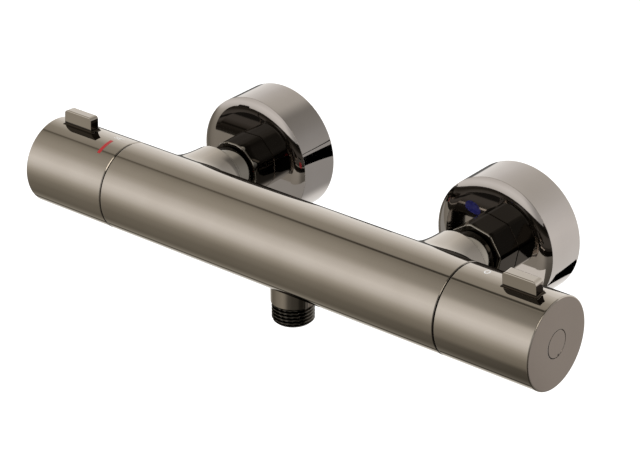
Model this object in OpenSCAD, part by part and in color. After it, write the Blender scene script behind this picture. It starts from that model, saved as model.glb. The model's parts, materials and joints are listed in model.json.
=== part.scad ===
/* [Bar] */
// Outer diameter of the bar and of both handles
bar_d = 45; // [44.6:0.2:50]
// Distance from an inlet's axis to the end of the bar
end_reach = 27; // [26:0.5:32]
// Gap between the bar and each handle
seam_gap = 0.5; // [0.3:0.1:1]
// Chamfer on both edges of each seam
seam_chamfer = 0.4; // [0.2:0.1:0.8]

/* [Inlets] */
// Distance between the two inlets
inlet_centres = 150; // [149:0.5:151]
// Outer diameter of the necks behind the bar
neck_d = 35; // [33:0.5:36]
// Distance from the bar's axis to the end of a neck
neck_reach = 33.5; // [32.5:0.5:38]
// Radius of the fillet between a neck and the bar
neck_blend = 6; // [3:0.5:8]
// Diameter of the waterway in each neck
inlet_waterway_d = 12; // [10:0.5:13]
// Diameter of the threaded socket in each neck
neck_socket_d = 24.2; // [23.6:0.2:25]
// Depth of that socket
neck_socket_depth = 9.5; // [8:0.5:10]
// Chamfer on the neck's end
neck_chamfer = 0.6; // [0.3:0.1:1]

/* [Outlet] */
// Distance of the outlet from the middle of the bar
outlet_offset = 3; // [0:1:10]
// Outer diameter of the outlet's neck
outlet_neck_d = 22; // [21.6:0.2:24]
// Distance from the bar's axis to the end of the outlet's neck
outlet_neck_reach = 29; // [28:0.5:34]
// Radius of the fillet between that neck and the bar
outlet_blend = 1.2; // [0.8:0.1:2]
// Outer diameter of the G 1/2 threads
half_inch_thread_d = 20.955; // [20.75:0.005:20.96]
// Length of the outlet's thread
outlet_thread_length = 10; // [8:0.5:14]
// Waterway of the outlet nipple
outlet_waterway_d = 13; // [11:0.5:14]
// Diameter of the nipple's shank inside the neck
nipple_shank_d = 17; // [16:0.2:17.4]
// Length of that shank
nipple_shank_length = 8; // [6:0.5:9]

/* [Handles] */
// Length of each handle
handle_length = 51; // [51:0.5:60]
// Wall of a handle around its hollow
handle_wall = 3.2; // [2.6:0.1:3.4]
// Thickness of a handle's closed end
handle_floor = 7.5; // [7.5:0.5:9]
// Rounding of the outer edge
handle_edge_round = 1.5; // [0.5:0.1:2.5]
// Length of a fin along the bar
fin_length = 18; // [14:0.5:24]
// Thickness of a fin
fin_thickness = 5.3; // [4:0.1:8]
// Height of a fin above the handle
fin_height = 7.7; // [5:0.1:12]
// Distance from the outer face of the handle to the fin
fin_setback = 8.5; // [7:0.5:14]
// Radius of the concave foot of a fin
fin_foot = 1; // [0.6:0.2:3.6]
// Rounding of the two top corners of a fin
fin_corner = 2; // [0.6:0.2:2.4]
// Rounding of the long top edges of a fin
fin_edge = 0.6; // [0.4:0.1:1.5]
// How far the fin of the temperature handle leans to the wall, in degrees
temperature_fin_turn = 2.5; // [-10:0.5:10]
// How far the fin of the flow handle leans to the wall, in degrees
flow_fin_turn = -6; // [-10:0.5:10]
// Diameter of the round plug in the end face
end_plug_d = 14; // [12:0.5:16]
// Depth of the plug's recess
end_plug_depth = 3.5; // [3:0.1:4]

/* [Union nuts] */
// Size across the flats of a union nut
nut_across_flats = 29.5; // [29:0.5:32]
// Number of flats
nut_sides = 8; // [6:2:12]
// Length of a union nut
nut_length = 15; // [14:0.5:18]
// How far the hot nut is turned, in degrees
hot_nut_turn = 21; // [0:1:45]
// How far the cold nut is turned, in degrees
cold_nut_turn = 34; // [0:1:45]
// Outer diameter of the G 3/4 threads
three_quarter_thread_d = 26.441; // [26.2:0.001:26.45]

/* [Wall covers] */
// Diameter of a wall cover at its front
cover_front_d = 66.6; // [60:0.2:76]
// Diameter of a wall cover at the wall
cover_back_d = 67.2; // [62:0.2:82]
// Depth of a wall cover
cover_depth = 24.7; // [22:0.1:28]
// Wall of a wall cover
cover_wall = 1.2; // [1:0.1:2]
// Thickness of its front
cover_front = 2; // [1.6:0.1:3]
// Diameter of the flat middle of its front
cover_flat_d = 52; // [44:1:58]
// Radius with which the front rounds away outside the flat middle
cover_round_r = 13; // [12:0.5:20]

/* [Offset unions] */
// Distance between the two axes of an offset union
union_offset = 7.5; // [5:0.5:9]
// Distance from the bar's axis to the wall
wall_distance = 86; // [86:0.5:90]
// Length of the wall thread inside the wall
wall_thread_length = 13; // [11:0.5:18]
// Waterway of an offset union
union_waterway_d = 14; // [11:0.5:14.5]

/* [Check valves] */
// Outer diameter of a check valve housing
check_housing_d = 17.8; // [17.4:0.1:18]
// Opening travel of a poppet
check_travel = 3; // [1:0.5:3.5]
// Wire of the check valve springs
check_wire_d = 0.7; // [0.5:0.05:0.8]

/* [Thermostat cartridge] */
// Diameter of the cartridge's bore in the bar
cartridge_bore_d = 34; // [33.6:0.2:34.6]
// Diameter of the sleeve bore that the shuttle slides in
shuttle_bore_d = 22; // [21:0.2:22.4]
// Running clearance of moving pieces, on the radius
running_gap = 0.05; // [0.02:0.01:0.08]
// Pitch of the adjusting thread
adjusting_pitch = 2; // [1:0.25:2.5]
// Turn of the temperature handle towards hot, in degrees
hot_turn = 50; // [30:1:60]
// Turn of the temperature handle towards cold, in degrees
cold_turn = 130; // [90:1:150]
// Wire of the return spring
return_wire_d = 1.2; // [0.8:0.1:1.4]
// Wire of the overload spring
overload_wire_d = 1.3; // [1:0.1:1.4]

/* [Flow headwork] */
// Turn of the flow handle from shut to open, in degrees
flow_turn = 90; // [80:1:100]
// Diameter of the headwork's bore in the bar
headwork_bore_d = 21.1; // [21:0.05:21.6]
// Thickness of each ceramic disc
ceramic_disc_t = 2.5; // [2:0.1:2.8]

/* [Safety button] */
// Diameter of the safety button
button_d = 7.5; // [6:0.5:8]
// Travel of the safety button
button_travel = 2; // [1:0.5:2]
// How far the button stands out of the handle
button_proud = 1; // [0.6:0.2:1.6]
// Wire of the button's spring
button_wire_d = 0.5; // [0.4:0.05:0.6]

/* [Hidden] */
$fn = 72;

// Extra reach of every cut past the face that it opens
overrun = 1;
// Gap between pieces that are screwed or pushed together
fit_gap = 0.1;
// Gap between moving pieces and what they pass
clearance = 0.3;

// Colours
nickel = [0.45, 0.42, 0.38];
dark_nickel = [0.32, 0.3, 0.28];
brass = [0.72, 0.58, 0.3];
white_plastic = [0.9, 0.9, 0.88];
dark_plastic = [0.18, 0.18, 0.2];
black_rubber = [0.08, 0.08, 0.08];
ceramic = [0.88, 0.86, 0.82];
steel = [0.7, 0.7, 0.72];
alert_red = [0.7, 0.1, 0.1];

// Bar, measured from its middle
bar_r = bar_d / 2;
inlet_x = inlet_centres / 2;
body_end = inlet_x + end_reach;
handle_from = body_end + seam_gap;
handle_to = handle_from + handle_length;
hollow_r = bar_r - handle_wall;
hollow_to = handle_to - handle_floor;

// Inlet connector, measured from the bar's axis towards the wall
connector_from = neck_reach - neck_socket_depth + clearance;
connector_shank_r = neck_socket_d / 2 - fit_gap;
connector_collar_r = 15.2;
connector_collar_length = 3.2;
connector_body_r = 13;
connector_nut_gap = 1;
connector_neck_r = 10;
connector_flange_r = 12.6;
connector_flange_t = 2.4;
connector_bore_r = check_housing_d / 2 + fit_gap;
connector_mouth_r = 7.6;

// Union nut and what it pulls together
cover_face = wall_distance - cover_depth;
nut_from = cover_face - nut_length;
nut_to = cover_face;
connector_body_to = nut_from - connector_nut_gap;
nut_rim_t = 2.4;
nut_chamfer = 0.9;
nut_corner_r = nut_across_flats / 2 / cos(180 / nut_sides);
nut_bore_r = three_quarter_thread_d / 2 + fit_gap;
flange_from = nut_from + nut_rim_t;
washer_from = flange_from + connector_flange_t;
washer_t = 2;
washer_r_share = 0.96;
union_from = washer_from + washer_t;

// Offset union
union_r = three_quarter_thread_d / 2;
union_thread_chamfer = 1;
union_waterway_r = union_waterway_d / 2;
union_shoulder_r = 14.6;
union_shoulder_t = 9;
union_back_r = 11.8;
union_back_t = 12;
union_overlap = 3;
union_shoulder_gap = 5;
union_shoulder_from = cover_face + cover_front + union_shoulder_gap;
union_shoulder_to = union_shoulder_from + union_shoulder_t;
union_back_gap = 2;
union_back_to = wall_distance - union_back_gap;
union_back_from = union_back_to - union_back_t;
wall_thread_to = wall_distance + wall_thread_length;
wall_waterway_r = 7;

// Wall cover
cover_hole_r = union_r + fit_gap;
cover_flat_r = cover_flat_d / 2;
cover_fall = cover_round_r - sqrt(pow(cover_round_r, 2) - pow(cover_front_d / 2 - cover_flat_r, 2));
cover_collar_r = 15.6;
cover_collar_length = 2.5;

// Check valve, measured from the bar's axis towards the wall
check_reach = 8;
check_to = connector_from + neck_socket_depth + check_reach;
check_wall = 1.3;
check_seat_t = 1.6;
check_seat_r = 5.2;
check_spider_t = 2.2;
check_spider_arms = 3;
check_arm_w = 1.6;
check_hub_r = 2.8;
check_stem_r = 1.5;
check_stem_out = 0.8;
poppet_r = 6.2;
poppet_t = 1.5;
poppet_nose_r = 4.4;
poppet_nose_t = 1;
check_coil_r = 4;
check_curls = 4;
poppet_from = check_to - check_seat_t - running_gap - poppet_t;
check_spring_length = check_travel + 2 * check_curls * check_wire_d;
check_spider_to = poppet_from - check_spring_length;
check_from = check_spider_to - check_spider_t;
check_ring_w = 2;
check_ring_depth = 0.9;
check_ring_setback = 6.5;
check_ring_at = check_from + check_ring_setback;

// Inlet filter
filter_rim_r = 8.6;
filter_rim_t = 1;
filter_cup_r = 6.6;
filter_cup_length = 4.6;
filter_wall = 0.8;
filter_slots = 12;
filter_slot_w = 1.6;
filter_slot_length = 2.6;

// Thermostat cartridge, measured from the bar's middle towards its end
cartridge_bore_r = cartridge_bore_d / 2;
cartridge_inner_reach = 19;
cartridge_floor = inlet_x - cartridge_inner_reach;
cartridge_r = cartridge_bore_r - fit_gap;
ring_nut_step = 1;
ring_nut_bore_r = cartridge_bore_r + ring_nut_step;
tail_length = 9.8;
tail_bore_r = 9.1;
tail_r = tail_bore_r - fit_gap;
tail_hollow_r = 5.6;
base_flange_t = 1.5;
base_spigot_t = 1.4;
base_spigot_wall = 1.7;
base_from = cartridge_floor + clearance;
base_to = base_from + base_flange_t;
housing_end_t = 1.2;
cold_waist_from = base_to + housing_end_t;
cold_waist_reach = 8.5;
cold_waist_to = cartridge_floor + cold_waist_reach;
waist_land = 5;
hot_waist_from = cold_waist_to + waist_land;
hot_waist_length = 12;
hot_waist_to = hot_waist_from + hot_waist_length;
shoulder_land = 10;
cartridge_shoulder = hot_waist_to + shoulder_land;
waist_r = 14;
port_w = 2.4;
port_span_share = 0.55;
ports = 4;
cold_port_reach = 5.5;
cold_port_at = cartridge_floor + cold_port_reach;
hot_port_offset = 0.5;
hot_port_at = inlet_x + hot_port_offset;
shuttle_bore_r = shuttle_bore_d / 2;
cavity_reach = 6.3;
cavity_to = cartridge_shoulder + cavity_reach;
nose_r = 12;
nose_wall = 1.8;
nose_cavity_r = nose_r - nose_wall;
nose_spline_r = nose_r - fit_gap;
nose_spline_depth = 0.7;
nose_splines = 24;
nose_reach = 10.5;
nose_to = body_end + nose_reach;
nose_spline_reach = 5.3;
nose_spline_from = body_end + nose_spline_reach;
ring_nut_r = ring_nut_bore_r - fit_gap;
ring_nut_flats = 32;
ring_nut_head = 5;
cartridge_ring_w = 2.6;
cartridge_ring_t = 2;
cartridge_ring_setback = 3.5;
cartridge_rings_at = [(cold_waist_to + hot_waist_from) / 2, cartridge_shoulder - cartridge_ring_setback];
tail_ring_at = cartridge_floor - tail_length / 2;
tail_ring_t = 1.4;
tail_ring_w = 1.9;
ring_squeeze = 0.05;

// Adjusting spindle and follower
journal_r = 6;
journal_bore_r = journal_r + running_gap;
spindle_thread_r = 4.5;
spindle_thread_bore_r = spindle_thread_r + fit_gap;
spindle_collar_r = 9;
spindle_collar_t = 1.8;
spindle_collar_from = cavity_to - spindle_collar_t - running_gap;
spindle_thread_length = 7;
spindle_tip = spindle_collar_from - spindle_thread_length;
spline_r = 5.4;
spline_depth = 0.6;
splines = 20;
spindle_reach = 25;
spindle_to = body_end + spindle_reach;
spline_margin = 0.5;
spline_from = nose_to + spline_margin;
screw_r = 2;
screw_bore_r = screw_r + fit_gap;
screw_hole_depth = 13;
spindle_ring_reach = 2;
spindle_ring_at = body_end + spindle_ring_reach;
spindle_ring_t = 1.1;
spindle_ring_w = 1.5;
cold_travel = adjusting_pitch * cold_turn / 360;
hot_travel = adjusting_pitch * hot_turn / 360;
follower_r = nose_cavity_r - clearance;
follower_to = spindle_collar_from - cold_travel - clearance;
follower_floor_t = 4;
follower_length = 13.5;
follower_from = follower_to - follower_length;
follower_hollow_r = 7.5;
key_w = 3;
key_r = shuttle_bore_r - fit_gap;
key_slot_r = key_r + running_gap;
key_length = 5;
overload_coil_r = 6;
overload_curls = 3;
plunger_r = follower_hollow_r - fit_gap;
plunger_t = 1.8;
follower_lip = 1;
plunger_from = follower_from + follower_lip;
plunger_cup_r = 3.6;
plunger_cup_length = 2.2;
piston_r = 2;
piston_hole_depth = 2.5;

// Wax element and shuttle
bulb_r = 5;
bulb_reach = 4;
bulb_from = cartridge_floor + bulb_reach;
collar_r = 6.6;
collar_t = 2.2;
web_t = 1.9;
shuttle_r = shuttle_bore_r - running_gap;
shuttle_wall = 1.6;
shuttle_from = cold_port_at - port_w / 2 + hot_travel;
shuttle_to = hot_port_at + port_w / 2 - cold_travel;
web_setback = 3.6;
web_from = shuttle_to - web_setback;
web_holes = 12;
web_hole_r = 1;
web_holes_at_r = 8.25;
shuttle_ring_t = 1;
shuttle_ring_w = 1.6;
piston_reach = 4;
piston_from = shuttle_to + piston_reach;
return_coil_r = 6.6;
return_curls = 5;

// Handle insides
hub_gap = 0.1;
hub_r = hollow_r - hub_gap;
hub_nose_gap = 0.6;
hub_disc_from = nose_to + hub_nose_gap;
button_r = button_d / 2;
button_flange_w = 1;
button_flange_r = button_r + button_flange_w;
button_pocket_r = button_flange_r + clearance;
button_wall = 1.3;
hub_disc_to = hub_disc_from + 2 * (button_pocket_r + button_wall);
hub_tube_r = 8.6;
boss_r = 8;
boss_t = 5.5;
boss_from = hollow_to - boss_t;
hub_to = boss_from - fit_gap;
hub_ribs = 6;
hub_rib_t = 1.8;
hub_skirt_reach = 7;
hub_skirt_from = body_end + hub_skirt_reach;
hub_skirt_t = 2.4;
spline_gap = 0.08;
stop_ring_reach = 6;
stop_ring_from = body_end + stop_ring_reach;
stop_ring_to = nose_to;
stop_ring_r = 15;
stop_sector_r = 16.3;
stop_lug_half = 6;
stop_margin = 0.6;
lug_inner_r = 15.4;
lug_outer_r = 17;
lug_reach = 3.2;
screw_head_r = 3.9;
screw_head_t = 3;
screw_seat_depth = 2.2;
screw_head_seat = hollow_to - screw_seat_depth;
screw_head_pocket_r = 4.3;
screw_key_flats = 2.5;
screw_key_depth = 1.6;
screw_hole_rest = 1.5;
screw_to = spindle_to - screw_hole_depth + screw_hole_rest;
plug_gap = 0.12;
plug_plate_t = 2;
plug_skirt_t = 1.4;
plug_chamfer = 0.2;
pry_notch_r = 0.45;
pry_notch_depth = 0.8;
pry_notch_turn = 165;

// Safety button, measured from the bar's axis outwards
button_at = (hub_disc_from + hub_disc_to) / 2;
button_flange_t = 0.9;
button_flange_to = sqrt(pow(hollow_r, 2) - pow(button_flange_r, 2)) - clearance;
button_flange_from = button_flange_to - button_flange_t;
button_pocket_floor = 10.5;
button_stem_r = 1.3;
button_stem_rest = 0.8;
button_stem_from = button_pocket_floor + button_travel + button_stem_rest;
button_top_round = 0.6;
button_coil_r = 2.6;
button_curls = 5;

// Flow headwork, measured from the bar's middle towards its end
headwork_bore_r = headwork_bore_d / 2;
headwork_floor_offset = 1;
headwork_floor = inlet_x + headwork_floor_offset;
headwork_r = headwork_bore_r - fit_gap;
headwork_collar_r = 15;
headwork_collar_t = 2;
headwork_flats = 27;
headwork_nose_from = stop_ring_from;
headwork_cavity_r = 8.8;
disc_r = headwork_cavity_r - running_gap;
seal_length = 3.4;
seal_bore_r = 5.4;
seal_grip = 1.4;
headwork_from = headwork_floor + seal_length - seal_grip;
fixed_disc_from = headwork_floor + seal_length;
turning_disc_from = fixed_disc_from + ceramic_disc_t;
driver_from = turning_disc_from + ceramic_disc_t + running_gap;
driver_t = 3;
driver_r = headwork_cavity_r - running_gap;
driver_key_w = 3;
driver_key_depth = 1;
window_from = driver_from;
window_length = 5.5;
window_w = 7;
driver_room = 2;
headwork_cavity_to = driver_from + driver_t + driver_room;
chamber_r = 12.8;
chamber_from = window_from;
chamber_margin = 1;
chamber_to = window_from + window_length + chamber_margin;
headwork_ring_setback = 1.6;
headwork_ring_at = chamber_to + headwork_ring_setback;
headwork_ring_w = 1.6;
headwork_ring_t = 1.2;
port_sector = 80;
port_inner_r = 2.2;
port_outer_r = 7;
mixed_waterway_r = 7;

// Waterways in the bar
cold_channel_r = 4;
cold_channel_y = 15.8;
return_channel_r = 4;
return_channel_z = 15;
inlet_waterway_floor = 13.2;
outlet_neck_r = outlet_neck_d / 2;
outlet_socket_r = nipple_shank_d / 2 + fit_gap;
outlet_well_from = 11;
nipple_key_flats = 14;
nipple_key_depth = 6;
outlet_chamfer = 1.2;
half_inch_r = half_inch_thread_d / 2;

// Frames. The part's origin lies on the wall, midway between the two wall threads.
module at_bar() {
    translate([0, -wall_distance, -union_offset]) children();
}

// The local Z axis runs out of the left end, local X points up and local Y to the wall
module at_left_end() {
    at_bar() rotate([0, -90, 0]) children();
}

module at_right_end() {
    at_bar() mirror([1, 0, 0]) rotate([0, -90, 0]) children();
}

// The local Z axis runs from the bar's axis to the wall, and local Y points down
module at_inlet(side) {
    at_bar() translate([side * inlet_x, 0, 0]) rotate([-90, 0, 0]) children();
}

// The local Z axis runs straight down out of the outlet
module at_outlet() {
    at_bar() translate([outlet_offset, 0, 0]) rotate([180, 0, 0]) children();
}

// Round stock between two stations on the local Z axis
module rod(r, from, to) {
    translate([0, 0, from]) cylinder(r = r, h = to - from);
}

// A ring between two stations
module ring(outer_r, inner_r, from, to) {
    difference() {
        rod(outer_r, from, to);
        rod(inner_r, from - overrun, to + overrun);
    }
}

// Round stock with a chamfer on both ends
module chamfered_rod(r, from, to, chamfer_from, chamfer_to) {
    rotate_extrude()
        polygon([
            [0, from], [r - chamfer_from, from], [r, from + chamfer_from],
            [r, to - chamfer_to], [r - chamfer_to, to], [0, to]
        ]);
}

// Flat-sided stock with its corners turned off on both ends
module chamfered_prism(corner_r, sides, from, to, chamfer) {
    intersection() {
        translate([0, 0, from]) cylinder(r = corner_r, h = to - from, $fn = sides);
        chamfered_rod(corner_r, from, to, chamfer, chamfer);
    }
}

// Outline with evenly spaced trapezoid teeth
module splined_outline(outer_r, depth, teeth) {
    tooth_shares = [0, 0.3, 0.5, 0.8];
    polygon([
        for (tooth = [0 : teeth - 1], corner = [0 : 3])
            let (turn = (tooth + tooth_shares[corner]) * 360 / teeth,
                 r = corner < 2 ? outer_r : outer_r - depth)
            [r * cos(turn), r * sin(turn)]
    ]);
}

// A pie slice from one angle to another, drawn as the corner points of its outer edge
module slice(r, turn_from, turn_to) {
    slice_steps = 12;
    far_r = r / cos((turn_to - turn_from) / slice_steps / 2);
    polygon(concat([[0, 0]], [
        for (step = [0 : slice_steps])
            let (turn = turn_from + (turn_to - turn_from) * step / slice_steps)
            [far_r * cos(turn), far_r * sin(turn)]
    ]));
}

// A ring segment between two stations and two angles
module ring_segment(outer_r, inner_r, from, to, turn_from, turn_to) {
    intersection() {
        ring(outer_r, inner_r, from, to);
        translate([0, 0, from - overrun])
            linear_extrude(to - from + 2 * overrun) slice(outer_r + overrun, turn_from, turn_to);
    }
}

// The O-ring of a groove, a little flattened where it seals
module seal_ring(outer_r, depth, width, at) {
    translate([0, 0, at])
        rotate_extrude()
        intersection() {
            translate([outer_r - depth / 2, 0]) circle(d = max(depth, width), $fn = 32);
            translate([outer_r - depth, -width / 2]) square([depth, width]);
        }
}

// Rolling-ball fillet between a round post and the round bar that it stands on.
// The post stands on local Z and the bar lies along local X. A ball of the blend
// radius rolls round the post, touching both, and its path and its two contact
// points give each arc. The arc starts and ends a little inside both surfaces.
blend_turns = 40;
blend_steps = 5;
blend_sink = 0.08;
blend_root = 2.2;

function unit(v) = v / norm(v);

function ball_centre(post_r, blend, turn) =
    let (reach = post_r + blend - blend_sink, hub = bar_r + blend - blend_sink)
    [reach * cos(turn), reach * sin(turn), sqrt(pow(hub, 2) - pow(reach * sin(turn), 2))];

function blend_section(post_r, blend, turn) =
    let (
        centre = ball_centre(post_r, blend, turn),
        to_post = [-cos(turn), -sin(turn), 0],
        to_bar = unit([0, -centre[1], -centre[2]]),
        sweep = acos(to_post * to_bar),
        root_r = post_r - blend_root
    )
    concat(
        [for (step = [0 : blend_steps])
            let (share = step / blend_steps)
            centre + blend * (sin((1 - share) * sweep) * to_post + sin(share * sweep) * to_bar)
                / sin(sweep)],
        [[root_r * cos(turn), root_r * sin(turn),
          sqrt(pow(bar_r, 2) - pow(root_r * sin(turn), 2)) - blend_root]]
    );

module saddle_blend(post_r, blend) {
    corners = blend_steps + 2;
    points = [for (i = [0 : blend_turns - 1]) each blend_section(post_r, blend, i * 360 / blend_turns)];
    faces = [
        for (i = [0 : blend_turns - 1], k = [0 : corners - 1])
            let (
                a = i * corners + k,
                b = i * corners + (k + 1) % corners,
                c = ((i + 1) % blend_turns) * corners + (k + 1) % corners,
                d = ((i + 1) % blend_turns) * corners + k
            )
            each [[a, c, b], [a, d, c]]
    ];
    polyhedron(points, faces);
}

// A helical spring between two stations on local Z. Its ends run straight for one
// wire diameter, square to the axis.
coil_rings = 8;
coil_sides = 6;

function coil_centres(coil_r, wire_d, from, to, curls) =
    let (low = from + wire_d / 2, high = to - wire_d / 2, rings = coil_rings * curls)
    concat(
        [[coil_r, -wire_d, low]],
        [for (i = [0 : rings])
            [coil_r * cos(360 * i / coil_rings), coil_r * sin(360 * i / coil_rings),
             low + (high - low) * i / rings]],
        [[coil_r, wire_d, high]]
    );

function least_coil_gap(coil_r, wire_d, from, to, curls) =
    let (centres = coil_centres(coil_r, wire_d, from, to, curls), last = len(centres) - 1)
    min([for (i = [0 : last - coil_rings], k = [i + coil_rings - 1 : last])
        norm(centres[k] - centres[i]) - wire_d]);

module coil(name, coil_r, wire_d, from, to, curls) {
    centres = coil_centres(coil_r, wire_d, from, to, curls);
    last = len(centres) - 1;
    points = [
        for (i = [0 : last])
            let (
                along = unit(centres[min(i + 1, last)] - centres[max(i - 1, 0)]),
                outward = unit(cross(along, [0, 0, 1])),
                upward = cross(outward, along)
            )
            for (side = [0 : coil_sides - 1])
                let (turn = 360 * side / coil_sides)
                centres[i] + wire_d / 2 * (cos(turn) * outward + sin(turn) * upward)
    ];
    walls = [
        for (i = [0 : last - 1], side = [0 : coil_sides - 1])
            let (
                a = i * coil_sides + side,
                b = i * coil_sides + (side + 1) % coil_sides,
                c = b + coil_sides,
                d = a + coil_sides
            )
            each [[a, b, c], [a, c, d]]
    ];
    first_cap = [for (side = [1 : coil_sides - 2]) [0, side + 1, side]];
    end = last * coil_sides;
    last_cap = [for (side = [1 : coil_sides - 2]) [end, end + side, end + side + 1]];
    echo(str(name, ": least gap between curls ", least_coil_gap(coil_r, wire_d, from, to, curls)));
    polyhedron(points, concat(walls, first_cap, last_cap));
}

// Bar with its two necks and its waterways
module bar_barrel() {
    chamfered_rod(bar_r, -body_end, body_end, seam_chamfer, seam_chamfer);
}

module thermostat_bore() {
    rod(cartridge_bore_r, cartridge_floor, body_end + overrun);
    rod(ring_nut_bore_r, cartridge_shoulder, body_end + overrun);
    rod(tail_bore_r, cartridge_floor - tail_length - clearance, cartridge_floor + overrun);
}

module headwork_bore() {
    rod(headwork_bore_r, headwork_floor, body_end + overrun);
    rod(chamber_r, chamber_from, chamber_to);
}

module inlet_bore() {
    rod(inlet_waterway_d / 2, inlet_waterway_floor, neck_reach + overrun);
    rod(neck_socket_d / 2, neck_reach - neck_socket_depth, neck_reach + overrun);
}

module outlet_bore() {
    rod(outlet_waterway_d / 2, outlet_well_from, outlet_neck_reach + overrun);
    rod(outlet_socket_r, outlet_neck_reach - nipple_shank_length - clearance, outlet_neck_reach + overrun);
}

module bar_channels() {
    rotate([0, 90, 0])
        rod(mixed_waterway_r, -cartridge_floor, headwork_floor + overrun);
    translate([0, cold_channel_y, 0]) rotate([0, 90, 0])
        rod(cold_channel_r, -cold_waist_to, inlet_x);
    translate([0, 0, -return_channel_z]) rotate([0, 90, 0])
        rod(return_channel_r, outlet_offset, chamber_to);
}

module valve_body() {
    color(nickel)
        difference() {
            union() {
                at_bar() rotate([0, 90, 0]) bar_barrel();
                for (side = [-1, 1])
                    at_inlet(side) {
                        chamfered_rod(neck_d / 2, 0, neck_reach, 0, neck_chamfer);
                        saddle_blend(neck_d / 2, neck_blend);
                    }
                at_outlet() {
                    chamfered_rod(outlet_neck_r, 0, outlet_neck_reach, 0, seam_chamfer);
                    saddle_blend(outlet_neck_r, outlet_blend);
                }
            }
            for (side = [-1, 1]) at_inlet(side) inlet_bore();
            at_left_end() thermostat_bore();
            at_right_end() headwork_bore();
            at_outlet() outlet_bore();
            at_bar() bar_channels();
        }
}

module hose_outlet() {
    thread_to = outlet_neck_reach + outlet_thread_length;
    color(dark_nickel)
        at_outlet()
        difference() {
            union() {
                chamfered_rod(half_inch_r, outlet_neck_reach, thread_to, 0, outlet_chamfer);
                rod(nipple_shank_d / 2, outlet_neck_reach - nipple_shank_length, outlet_neck_reach);
            }
            rod(outlet_waterway_d / 2, outlet_neck_reach - nipple_shank_length - overrun,
                thread_to + overrun);
            translate([0, 0, thread_to - nipple_key_depth])
                cylinder(d = nipple_key_flats / cos(30), h = nipple_key_depth + overrun, $fn = 6);
        }
}

// Connector between a neck and its union nut, with the check valve inside
module inlet_connector(side) {
    step_to = connector_body_to;
    color(dark_nickel)
        at_inlet(side)
        difference() {
            union() {
                rod(connector_shank_r, connector_from, neck_reach);
                chamfered_rod(connector_collar_r, neck_reach, neck_reach + connector_collar_length,
                    neck_chamfer, neck_chamfer);
                chamfered_rod(connector_body_r, neck_reach, step_to, 0, neck_chamfer);
                rod(connector_neck_r, neck_reach, washer_from);
                rod(connector_flange_r, flange_from, washer_from);
            }
            rod(connector_bore_r, connector_from - overrun, check_to + clearance);
            rod(connector_mouth_r, connector_from, washer_from + overrun);
            rod(filter_rim_r + fit_gap, washer_from - filter_rim_t, washer_from + overrun);
        }
}

module hot_inlet_connector() {
    inlet_connector(-1);
}

module cold_inlet_connector() {
    inlet_connector(1);
}

module union_nut(side, turn) {
    color(dark_nickel)
        at_inlet(side)
        rotate([0, 0, -turn])
        difference() {
            chamfered_prism(nut_corner_r, nut_sides, nut_from, nut_to, nut_chamfer);
            rod(connector_neck_r + clearance, nut_from - overrun, nut_to);
            rod(nut_bore_r, flange_from, nut_to + overrun);
        }
}

module hot_union_nut() {
    union_nut(-1, hot_nut_turn);
}

module cold_union_nut() {
    union_nut(1, cold_nut_turn);
}

// Offset union. The valve side lies on the inlet's axis and the wall side above it.
module offset_union(side) {
    color(brass)
        at_inlet(side)
        difference() {
            union() {
                chamfered_rod(union_r, union_from, union_shoulder_from + overrun, union_thread_chamfer, 0);
                rod(union_shoulder_r, union_shoulder_from, union_shoulder_to);
                translate([0, -union_offset, 0]) {
                    rod(union_back_r, union_back_from, union_back_to);
                    chamfered_rod(half_inch_r, union_back_from, wall_thread_to, 0, union_thread_chamfer);
                }
            }
            rod(union_waterway_r, union_from - overrun, union_back_from + union_overlap);
            translate([0, -union_offset, 0])
                rod(wall_waterway_r, union_back_from, wall_thread_to + overrun);
        }
}

module hot_offset_union() {
    offset_union(-1);
}

module cold_offset_union() {
    offset_union(1);
}

// Half section of a wall cover before its front is rounded
module cover_outline() {
    front_r = cover_front_d / 2;
    back_r = cover_back_d / 2;
    inside = cover_face + cover_front;
    polygon([
        [0, cover_face],
        [front_r, cover_face],
        [back_r, wall_distance],
        [back_r - cover_wall, wall_distance],
        [front_r - cover_wall, inside + cover_fall],
        [cover_flat_r, inside],
        [cover_collar_r, inside],
        [cover_collar_r, inside + cover_collar_length],
        [0, inside + cover_collar_length]
    ]);
}

// Deep wall cover with a flat middle, a rounded outer zone and an open back
module escutcheon(side) {
    color(nickel)
        at_inlet(side)
        difference() {
            rotate_extrude($fn = 96)
                difference() {
                    cover_outline();
                    difference() {
                        translate([cover_flat_r, cover_face - overrun])
                            square([cover_back_d, cover_round_r + overrun]);
                        translate([cover_flat_r, cover_face + cover_round_r])
                            circle(r = cover_round_r, $fn = 96);
                    }
                }
            rod(cover_hole_r, cover_face - overrun, wall_distance);
        }
}

module hot_escutcheon() {
    escutcheon(-1);
}

module cold_escutcheon() {
    escutcheon(1);
}

module union_washers() {
    color(black_rubber)
        for (side = [-1, 1])
            at_inlet(side)
            ring(connector_flange_r * washer_r_share, connector_mouth_r, washer_from, union_from);
}

// Cup strainers, held by their rims under the washers
module inlet_filters() {
    cup_from = washer_from - filter_cup_length;
    color(white_plastic)
        for (side = [-1, 1])
            at_inlet(side)
            difference() {
                union() {
                    rod(filter_rim_r, washer_from - filter_rim_t + fit_gap, washer_from);
                    rod(filter_cup_r, cup_from, washer_from);
                }
                rod(filter_cup_r - filter_wall, cup_from + filter_wall, washer_from + overrun);
                for (slot = [0 : filter_slots - 1])
                    rotate([0, 0, slot * 360 / filter_slots])
                        translate([filter_cup_r, 0, cup_from + filter_wall + filter_slot_length / 2])
                        cube([filter_wall * 3, filter_slot_w, filter_slot_length], center = true);
            }
}

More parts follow.
